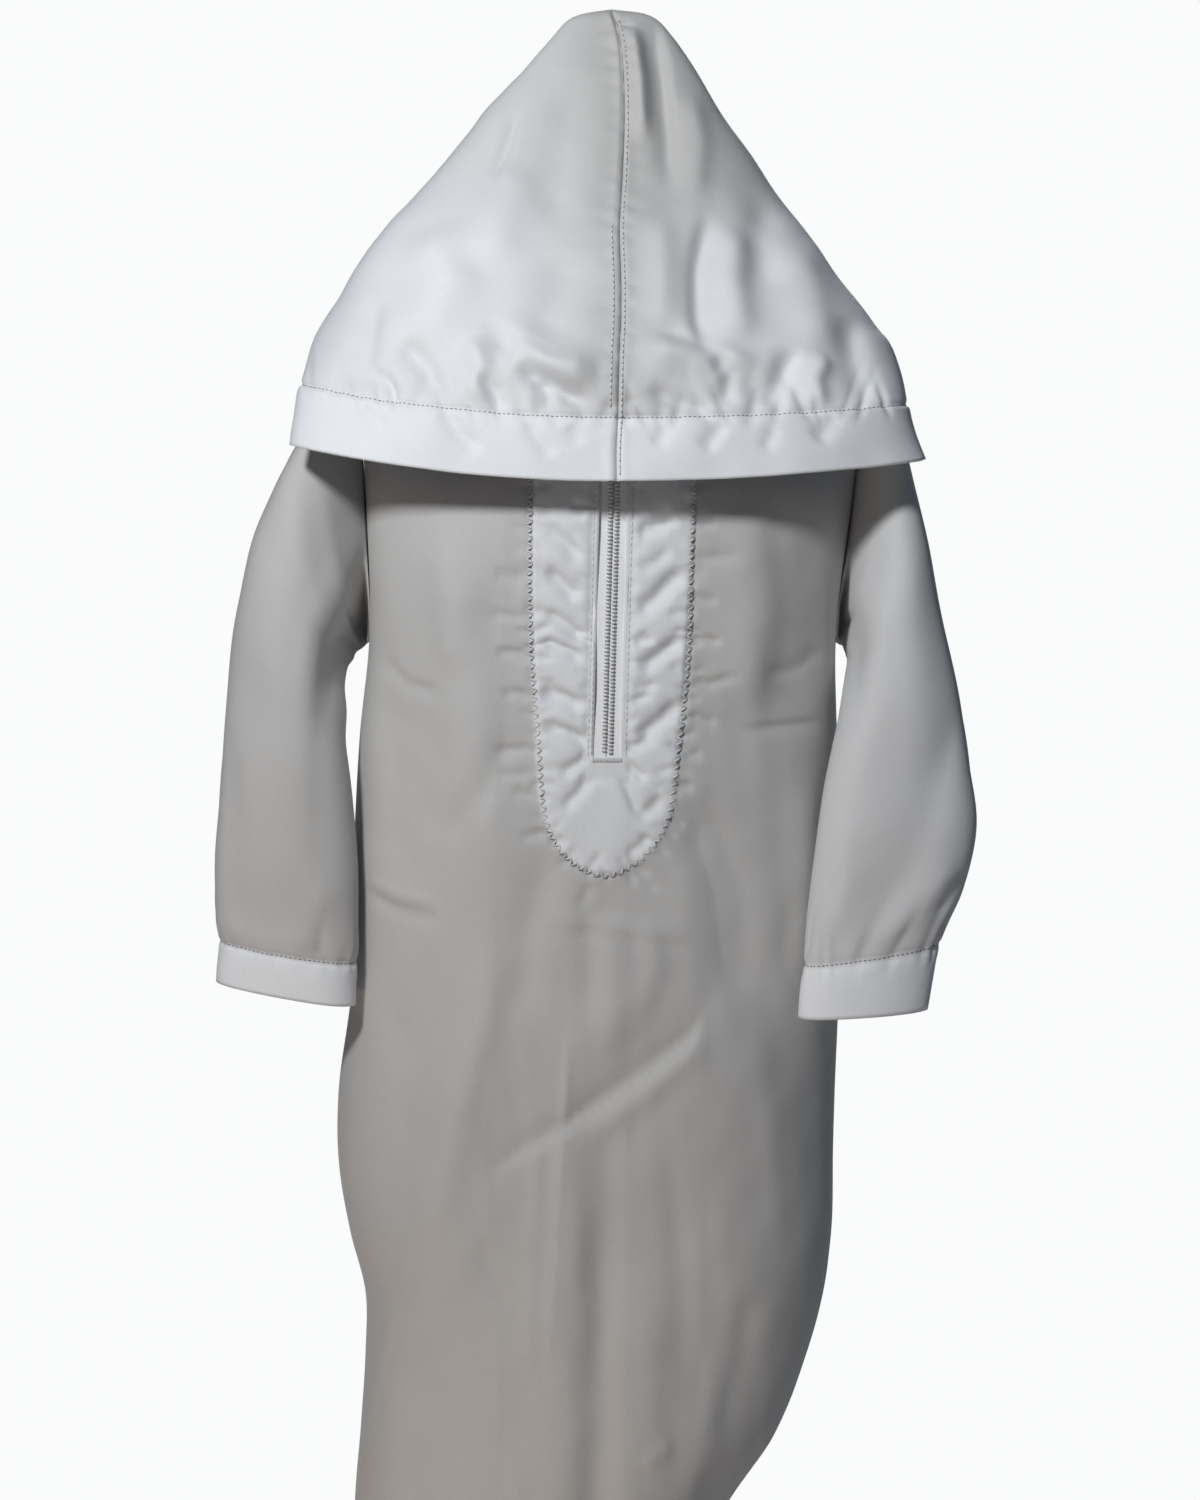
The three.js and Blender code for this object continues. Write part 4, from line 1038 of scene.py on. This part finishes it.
def hood_painted_shade(x, z):
    """Painted shade and painted light on the hood: how far its colour goes from the doubled cloth's lighter
    one towards the single ply's darker one at a place, set to follow the photo's light and dark areas.
    """
    near_seam = np.exp(-(((x - 4) / 30) ** 2))
    upper = smooth((z + 125) / 70)
    close = np.exp(-(((x + 82) / 34) ** 2) - ((z + 132) / 30) ** 2)
    right_top = smooth(x / 20) * smooth((z + 120) / 40)
    far_right = smooth((x - 60) / 40)
    total = 0.34 + 0.5 * near_seam + 0.25 * upper + 0.4 * right_top
    return np.clip(total - 0.2 * close - 0.35 * far_right, 0, 1)


def hood_half(side, cloth):
    sections = np.array([hood_section(n, side) for n in range(len(HOOD["wrap"]))])
    steps = np.concatenate([np.linspace(0, 1, 6)[:-1], np.linspace(1, 11, 121), np.linspace(11, 13, 23)[1:]])
    base = through(np.arange(len(sections), dtype=float), sections, steps)
    x, z = base[..., 0], base[..., 2]
    front_share = np.ones(base.shape[1])
    t = np.linspace(0, 1, HOOD_BACK_STEPS + 1)[1:]
    front_share[-HOOD_BACK_STEPS:] = 1 - smooth(t * 4)
    behind = np.zeros(base.shape[1])
    behind[-HOOD_BACK_STEPS:] = t
    relief = hood_relief(x, z, x[:, [0]], front_share[None, :])
    relief = relief + hood_back_relief(behind[None, :], z) * (behind[None, :] > 0)
    relief = relief * smooth(steps / 1.2)[:, None]
    if side < 0:
        base, relief = base[:, ::-1], relief[:, ::-1]
    normals = grid_normals(base)
    normals[0] = (0, 0, 1)
    points = base + normals * relief[..., None]
    seam = -1 if side < 0 else 0
    points[:, seam, 0] = base[:, seam, 0]
    final = grid_normals(points)
    final[0] = (0, 0, 1)
    final[:, seam, 0] *= 0.2
    above_hem = (1 - smooth((steps - HOOD_HEM_ROW) / 0.06 + 0.5))[:, None]
    # Above its doubled hem band the hood's colour is painted shade and painted light.
    ply = lerp(0.15, hood_painted_shade(base[..., 0], base[..., 2]), above_hem)
    name = "hood_" + ("left" if side < 0 else "right") + "_cloth"
    return wall(name, points, cloth, normals=final, ply=ply), points, steps


# Materials ----------------------------------------------------------------------------------------------


def node(tree, kind, inputs=(), **settings):
    """A shader node, with its inputs given as (socket name or index, value or another node's output)."""
    made = tree.nodes.new(kind)
    for key, value in settings.items():
        setattr(made, key, value)
    for key, value in inputs:
        if isinstance(value, bpy.types.NodeSocket):
            tree.links.new(value, made.inputs[key])
        else:
            made.inputs[key].default_value = value
    return made


def start_material(name):
    material = bpy.data.materials.new(name)
    material.use_nodes = True
    tree = material.node_tree
    return material, tree, tree.nodes["Principled BSDF"]


def weave_place(tree):
    return node(tree, "ShaderNodeAttribute", attribute_name="weave").outputs["Vector"]


def speckle(tree, place, scale, detail=2.0):
    """Noise stretched to a scale given per metre in each direction."""
    stretched = node(tree, "ShaderNodeVectorMath", [(0, place), (1, scale)], operation="MULTIPLY")
    inputs = [("Vector", stretched.outputs[0]), ("Scale", 1.0), ("Detail", detail)]
    return node(tree, "ShaderNodeTexNoise", inputs).outputs["Fac"]


def centred(tree, value, amount, base):
    """base + amount x (value - 0.5)"""
    shifted = node(tree, "ShaderNodeMath", [(0, value), (1, 0.5)], operation="SUBTRACT").outputs[0]
    inputs = [(0, shifted), (1, amount), (2, base)]
    return node(tree, "ShaderNodeMath", inputs, operation="MULTIPLY_ADD").outputs[0]


def threads(tree, place, pitch, direction):
    """Bands across the cloth at a thread's pitch in metres."""
    inputs = [("Vector", place), ("Scale", 0.314 / pitch), ("Distortion", 0.4), ("Detail", 1.0)]
    return node(tree, "ShaderNodeTexWave", inputs, bands_direction=direction).outputs["Fac"]


def bumped(tree, shader, height, strength, distance):
    inputs = [("Height", height), ("Strength", strength), ("Distance", distance)]
    bump = node(tree, "ShaderNodeBump", inputs)
    tree.links.new(bump.outputs["Normal"], shader.inputs["Normal"])


def scaled_colour(tree, colour, factor):
    inputs = [(0, colour), ("Scale", factor)]
    return node(tree, "ShaderNodeVectorMath", inputs, operation="SCALE").outputs[0]


def cloth_material(name, single, double, roughness, pitch=0.00042, slub=0.1):
    """Plain-woven cotton blend: slubs both ways, blotches, worn and faded patches, a faint sheen."""
    material, tree, shader = start_material(name)
    place = weave_place(tree)
    weft = speckle(tree, place, (160, 1700, 1), 3.0)
    warp = speckle(tree, place, (1900, 130, 1), 2.0)
    blotch = speckle(tree, place, (14, 11, 1), 3.0)
    fine = speckle(tree, place, (900, 900, 1), 2.0)
    # The ply attribute mixes the two colours: doubled bands get the cloth's own lighter one, and on the hood
    # and the right sleeve it carries painted shade and painted light.
    ply_and_painted_shade = node(tree, "ShaderNodeAttribute", attribute_name="ply").outputs["Fac"]
    shades = [(0, ply_and_painted_shade), (6, double + (1,)), (7, single + (1,))]
    mixed = node(tree, "ShaderNodeMix", shades, data_type="RGBA")
    factor = centred(tree, weft, slub, 1.0)
    factor = centred(tree, warp, slub * 0.8, factor)
    factor = centred(tree, fine, 0.06, factor)
    factor = centred(tree, blotch, 0.09, factor)
    colour = scaled_colour(tree, mixed.outputs[2], factor)
    tree.links.new(colour, shader.inputs["Base Color"])
    tree.links.new(centred(tree, blotch, 0.16, roughness), shader.inputs["Roughness"])
    shader.inputs["Sheen Weight"].default_value = 0.18
    shader.inputs["Sheen Roughness"].default_value = 0.45
    shader.inputs["Specular IOR Level"].default_value = 0.35
    woven = node(
        tree,
        "ShaderNodeMath",
        [(0, threads(tree, place, pitch, "X")), (1, threads(tree, place, pitch * 1.15, "Y"))],
        operation="ADD",
    ).outputs[0]
    height = centred(tree, weft, 1.2, woven)
    height = centred(tree, warp, 0.9, height)
    bumped(tree, shader, height, 0.35, 0.00009)
    return material


def thread_material(name, colour, roughness=0.5):
    """Sewing thread: plies twisted round each other, with a slight lustre."""
    material, tree, shader = start_material(name)
    place = weave_place(tree)
    turned = node(tree, "ShaderNodeVectorMath", [(0, place), (1, (1.0, 1.6, 1.6))], operation="MULTIPLY")
    twist = node(
        tree,
        "ShaderNodeTexWave",
        [("Vector", turned.outputs[0]), ("Scale", 700.0), ("Distortion", 0.5)],
        bands_direction="DIAGONAL",
    ).outputs["Fac"]
    fuzz = speckle(tree, place, (2500, 2500, 2500))
    factor = centred(tree, fuzz, 0.18, centred(tree, twist, 0.16, 1.0))
    base = node(tree, "ShaderNodeRGB")
    base.outputs[0].default_value = colour + (1,)
    tree.links.new(scaled_colour(tree, base.outputs[0], factor), shader.inputs["Base Color"])
    tree.links.new(centred(tree, fuzz, 0.2, roughness), shader.inputs["Roughness"])
    bumped(tree, shader, twist, 0.5, 0.00008)
    return material


def hard_material(name, colour, roughness, metallic, grain):
    """Moulded or cast stuff: a little mottled, with fine scuffs that change its roughness."""
    material, tree, shader = start_material(name)
    coordinates = node(tree, "ShaderNodeTexCoord").outputs["Object"]
    mottle = speckle(tree, coordinates, (grain, grain, grain), 3.0)
    scuff = speckle(tree, coordinates, (grain * 6, grain, grain * 1.5), 4.0)
    base = node(tree, "ShaderNodeRGB")
    base.outputs[0].default_value = colour + (1,)
    factor = centred(tree, scuff, 0.12, centred(tree, mottle, 0.16, 1.0))
    tree.links.new(scaled_colour(tree, base.outputs[0], factor), shader.inputs["Base Color"])
    tree.links.new(centred(tree, scuff, 0.35, roughness), shader.inputs["Roughness"])
    shader.inputs["Metallic"].default_value = metallic
    bumped(tree, shader, scuff, 0.2, 0.00006)
    return material


# The pieces -----------------------------------------------------------------------------------------------


def place_piece(piece, slot, *nodes):
    """A piece rides on the robe and stands for the CAD nodes named; slot is not used."""
    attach(piece, "robe")
    if nodes:
        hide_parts(*nodes)
    return piece


def build_body(cloth):
    front, front_points = body_front(cloth)
    back, back_points = body_back(cloth)
    place_piece(front, "cloth", "body_front")
    place_piece(back, "cloth", "body_back")
    for name, node_name, points, flat in (
        ("front_hem_ply", "hem_front", front_points, (0.25, 0.025)),
        ("back_hem_ply", "hem_back", back_points, (0.27, 0.025)),
    ):
        rows = points[:, points.shape[1] // 2, 2] < HEM_Z + 25
        trim = slice(3, -3)
        band = points[rows][:, trim]
        ply = inner_band(name, band, grid_normals(points)[rows][:, trim], cloth)
        place_piece(ply, "cloth", node_name)
    return front_points, back_points


def build_sleeve(side, cloth):
    name = "left" if side < 0 else "right"
    piece, points, steps = sleeve(side, cloth)
    place_piece(piece, "cloth", "sleeve_" + name)
    rows = steps >= CUFF_ROW + 0.04
    normals = grid_normals(points, True)[rows]
    ply = inner_band("cuff_" + name + "_ply", points[rows], normals, cloth, wraps=True)
    place_piece(ply, "cloth", "cuff_hem_" + name)
    return points, steps


def build_hood(side, cloth):
    name = "left" if side < 0 else "right"
    piece, points, steps = hood_half(side, cloth)
    place_piece(piece, "cloth", "hood_" + name)
    rows = steps >= HOOD_HEM_ROW + 0.04
    columns = slice(HOOD_BACK_STEPS + 4, -2) if side < 0 else slice(2, -HOOD_BACK_STEPS - 4)
    normals = grid_normals(points)[rows][:, columns]
    ply = inner_band("hood_" + name + "_hem_ply", points[rows][:, columns], normals, cloth)
    place_piece(ply, "cloth", "hood_hem_" + name)
    return points, steps


TAPE_DEPTH = 0.9
COIL_TOP, COIL_PITCH = -196.5, 1.75
COIL_INNER, COIL_OUTER = 0.15, 2.9  # each turn of the coil, from the zip's middle
TACK = {"z": -356.9, "left": -9.2, "pitch": 0.84, "threads": 17, "half": 1.15, "proud": 0.25}


def build_zip(tape_cloth, nylon, thread, cloth):
    ply = place_piece(placket(cloth), "cloth", "placket")
    heights = np.linspace(ZIP_TOP, SLIT_FOOT - 8, 90)
    for side, name in ((-1, "left"), (1, "right")):
        near = lambda z, s=side: slit_centre(z) + s * 0.06
        far = lambda z, s=side: slit_centre(z) + s * TAPE_EDGE
        edges = (far, near) if side < 0 else (near, far)
        tape = strip("tape_" + name, heights, *edges, 8, TAPE_SHOWN, TAPE_SHOWN - TAPE_DEPTH, tape_cloth)
        place_piece(tape, "zip_tape", "zip_tape_" + name)
    ends, normals = [], []
    for z in np.arange(COIL_TOP, SLIT_FOOT + 1.8, -COIL_PITCH):
        for side in (-1, 1):
            at = z - COIL_PITCH / 2 * (side > 0)
            x = slit_centre(at) + side * np.array([COIL_INNER, COIL_OUTER])
            row = body_point(x, x, np.full(2, at), -1)
            row[:, 1] += (-0.45, 0.1)
            ends.append((row[0], row[1]))
            normals.append(np.array([0.0, -1.0, 0.0]))
    chain = stitches("zip_coil", ends, normals, nylon, width=1.3, height=1.5, lift=0.0)
    place_piece(chain, "zip_nylon", "zip_chain")
    ends, normals = [], []
    for n in range(TACK["threads"]):
        x = np.full(2, TACK["left"] + n * TACK["pitch"])
        z = np.array([TACK["z"] + TACK["half"], TACK["z"] - TACK["half"]])
        row = front_at(x, z, TACK["proud"])
        ends.append((row[0], row[1]))
        normals.append(np.array([0.0, -1.0, 0.0]))
    tack = stitches("bar_tack_thread", ends, normals, thread, width=0.95, height=0.8, lift=0.1)
    place_piece(tack, "thread", "bar_tack")


def placket_stitches(thread):
    """Straight topstitching beside the slit, and the zigzag that holds the placket."""
    ends, normals = [], []
    z = np.arange(-200.0, SLIT_FOOT - 2, -0.8)
    for side, away in ((-1, 2.4), (1, 2.4)):
        x = slit_centre(z) + side * (SLIT_HALF + away)
        found = stitch_line(front_at(x, z), front_normals(x, z), 3.2, 2.5)
        ends += found[0]
        normals += found[1]
    low = np.arange(-300.0, SLIT_FOOT - 1, -0.8)
    x = slit_centre(low) - (SLIT_HALF + 0.9)
    found = stitch_line(front_at(x, low), front_normals(x, low), 3.0, 2.3, 1.1)
    ends += found[0]
    normals += found[1]
    piece = stitches("slit_topstitch", ends, normals, thread, width=0.75, height=0.6, lift=0.2)
    place_piece(piece, "thread")
    half_pitch, reach = 2.0, 1.5
    every = int(half_pitch / 0.5)
    line = ZIG_LINE[::every]
    step = np.gradient(line, axis=0)
    step /= np.linalg.norm(step, axis=1, keepdims=True)
    hand = np.where(np.arange(len(line)) % 2 == 0, 1.0, -1.0) * reach
    x = line[:, 0] - step[:, 1] * hand
    z = line[:, 1] + step[:, 0] * hand
    points = front_at(x, z)
    up = front_normals(x, z)
    ends = list(zip(points[:-1], points[1:]))
    piece = stitches("placket_zigzag", ends, list(up[:-1]), thread, width=0.9, height=0.8, lift=0.3)
    place_piece(piece, "thread")


def hem_stitches(name, runs, thread, pitch=2.6, length=1.9, width=0.6):
    """Stitching along rows of grids, as one piece."""
    ends, normals = [], []
    for path, up in runs:
        found = stitch_line(path, up, pitch, length)
        ends += found[0]
        normals += found[1]
    piece = stitches(name, ends, normals, thread, width=width, height=0.55, lift=0.15)
    place_piece(piece, "thread")


def hood_seam_runs(points, side, steps):
    """The two rows of topstitching beside the hood's centre front seam."""
    normals = grid_normals(points)
    rows = range(7, len(steps) - 1)
    away = 1.7 if side > 0 else 3.4
    path, up = [], []
    for i in rows:
        if side < 0 and not -192 < points[i, -1, 2] < -104:
            continue
        run, turned = (points[i], normals[i]) if side > 0 else (points[i][::-1], normals[i][::-1])
        offset = np.abs(run[:, 0] - run[0, 0])
        path.append([np.interp(away, offset[:40], run[:40, c]) for c in range(3)])
        up.append([np.interp(away, offset[:40], turned[:40, c]) for c in range(3)])
    return np.array(path), np.array(up)


def build_stitching(body, sleeves, hoods, thread, painted_shadow_thread):
    front_points, back_points = body
    placket_stitches(thread)
    runs = []
    for points in (front_points, back_points):
        row = int(np.argmin(np.abs(points[:, points.shape[1] // 2, 2] - (HEM_Z + 25))))
        runs.append((points[row], grid_normals(points)[row]))
    hem_stitches("skirt_hem_stitches", runs, thread)
    runs = []
    for points, steps in sleeves:
        row = int(np.argmin(np.abs(steps - CUFF_ROW)))
        closed = np.concatenate([points[row], points[row][:1]])
        up = grid_normals(points, True)[row]
        runs.append((closed, np.concatenate([up, up[:1]])))
    # The cuffs' stitches are in the dark thread, a painted shadow of the groove along them.
    hem_stitches("cuff_stitches", runs, painted_shadow_thread, 2.3, 1.6)
    runs = []
    for points, steps in hoods.values():
        row = int(np.argmin(np.abs(steps - HOOD_HEM_ROW)))
        runs.append((points[row], grid_normals(points)[row]))
    # The hood hem's stitches are in the dark thread too, a painted shadow of the groove along them.
    hem_stitches("hood_hem_stitches", runs, painted_shadow_thread, 2.3, 1.6)
    runs = [hood_seam_runs(points, side, steps) for side, (points, steps) in hoods.items()]
    hem_stitches("hood_seam_stitches", runs, thread, 3.0, 2.1, 0.85)
    # Dark lenses between the hood seam's stitches: painted shadow in the needle holes.
    painted_hole_shadows = []
    for path, up in runs:
        found = stitch_line(path, up, 3.0, 1.1, 2.0)
        painted_hole_shadows.append(found)
    ends = [pair for found in painted_hole_shadows for pair in found[0]]
    normals = [up for found in painted_hole_shadows for up in found[1]]
    piece = stitches("hood_seam_painted_hole_shadows", ends, normals, painted_shadow_thread, width=0.8, height=0.4, lift=0.05)
    place_piece(piece, "thread")


def build_pieces():
    cloth = cloth_material("thobe cloth", (0.52, 0.518, 0.512), (0.83, 0.855, 0.885), 0.6)
    tape_cloth = cloth_material("zip tape", (0.8, 0.81, 0.82), (0.82, 0.83, 0.84), 0.7, 0.0009, 0.05)
    thread = thread_material("white thread", (0.66, 0.67, 0.68))
    # Dark grey thread, a painted shadow: it stands in for the shade in the grooves of the cuff and hood hem
    # stitching and in the hood seam's needle holes.
    painted_shadow_thread = thread_material("painted shadow thread", (0.2, 0.2, 0.21))
    nylon = hard_material("zip nylon", (0.74, 0.75, 0.75), 0.38, 0.0, 600)
    metal = hard_material("zip metal", (0.62, 0.63, 0.64), 0.34, 0.7, 300)
    body = build_body(cloth)
    sleeves = [build_sleeve(side, cloth) for side in (-1, 1)]
    hoods = {side: build_hood(side, cloth) for side in (-1, 1)}
    build_zip(tape_cloth, nylon, thread, cloth)
    build_stitching(body, sleeves, hoods, thread, painted_shadow_thread)
    for name in ("zip_slider", "zip_pull"):
        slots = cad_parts[name].material_slots
        for slot in slots:
            slot.material = metal


# The studio -------------------------------------------------------------------------------------------------


PALE = (0.96, 0.965, 0.97, 1)  # the floor and the surround, as the camera sees them
FLOOR_REACH = 8.0
AMBIENT_COLOUR, AMBIENT_STRENGTH = (0.72, 0.84, 1.0, 1), 0.085
CAMERA_PLACE, CAMERA_TARGET, CAMERA_LENS = (-0.0057, -1.3429, -0.2171), (-0.0057, -0.050, -0.353), 65.5
# Each light: its name, place, target, size, power and colour.
LIGHTS = [
    ("key", (-0.36, -0.76, 0.2), (0, -0.05, -0.2), 0.13, 6.6, (0.985, 0.99, 1.0)),
    ("warm fill", (-0.3, -0.5, -0.96), (-0.05, 0, -0.8), 0.4, 1.1, (1.0, 0.72, 0.48)),
    ("back light", (0.5, 2.2, 0.7), (0, 0, -0.4), 1.2, 14, (0.97, 0.98, 1.0)),
]


def area_light(name, place, target, size, power, colour):
    light = bpy.data.lights.new(name, "AREA")
    light.shape = "DISK"
    light.size = size
    light.energy = power
    light.color = colour
    obj = bpy.data.objects.new(name, light)
    obj.location = place
    obj.rotation_euler = (Vector(target) - Vector(place)).to_track_quat("-Z", "Y").to_euler()
    bpy.context.scene.collection.objects.link(obj)


def build_floor():
    """A plain pale floor below the hanging robe."""
    floor_z = CAD_LOW[2] - 0.2
    square = [(-1, -1), (1, -1), (1, 1), (-1, 1)]
    corners = [(x * FLOOR_REACH, y * FLOOR_REACH, floor_z) for x, y in square]
    material, tree, shader = start_material("pale floor")
    shader.inputs["Base Color"].default_value = (0.82, 0.82, 0.83, 1)
    shader.inputs["Roughness"].default_value = 0.9
    seen = node(tree, "ShaderNodeLightPath").outputs["Is Camera Ray"]
    glow = node(tree, "ShaderNodeEmission", [("Color", PALE), ("Strength", 1.0)])
    mix = node(tree, "ShaderNodeMixShader", [(0, seen), (1, shader.outputs[0]), (2, glow.outputs[0])])
    tree.links.new(mix.outputs[0], tree.nodes["Material Output"].inputs["Surface"])
    floor = new_mesh("floor", np.array(corners) / MM, [(0, 1, 2, 3)], material)


def build_world():
    """A pale surround behind the object, and a dim bluish light from all sides."""
    world = bpy.data.worlds.new("studio")
    bpy.context.scene.world = world
    world.use_nodes = True
    tree = world.node_tree
    ambient = tree.nodes["Background"]
    ambient.inputs["Color"].default_value = AMBIENT_COLOUR
    ambient.inputs["Strength"].default_value = AMBIENT_STRENGTH
    pale = node(tree, "ShaderNodeBackground", [("Color", PALE), ("Strength", 1.0)])
    seen = node(tree, "ShaderNodeLightPath").outputs["Is Camera Ray"]
    mix = node(tree, "ShaderNodeMixShader", [(0, seen), (1, ambient.outputs[0]), (2, pale.outputs[0])])
    tree.links.new(mix.outputs[0], tree.nodes["World Output"].inputs["Surface"])


def build_camera():
    camera = bpy.data.cameras.new("camera")
    camera.sensor_fit = "AUTO"
    camera.sensor_width = 36
    camera.lens = CAMERA_LENS
    obj = bpy.data.objects.new("camera", camera)
    obj.location = CAMERA_PLACE
    target = Vector(CAMERA_TARGET)
    obj.rotation_euler = (target - obj.location).to_track_quat("-Z", "Y").to_euler()
    bpy.context.scene.collection.objects.link(obj)
    bpy.context.scene.camera = obj


def build_studio():
    build_floor()
    build_world()
    build_camera()
    for light in LIGHTS:
        area_light(*light)
    bpy.context.scene.view_settings.view_transform = "Standard"


build_pieces()
build_studio()
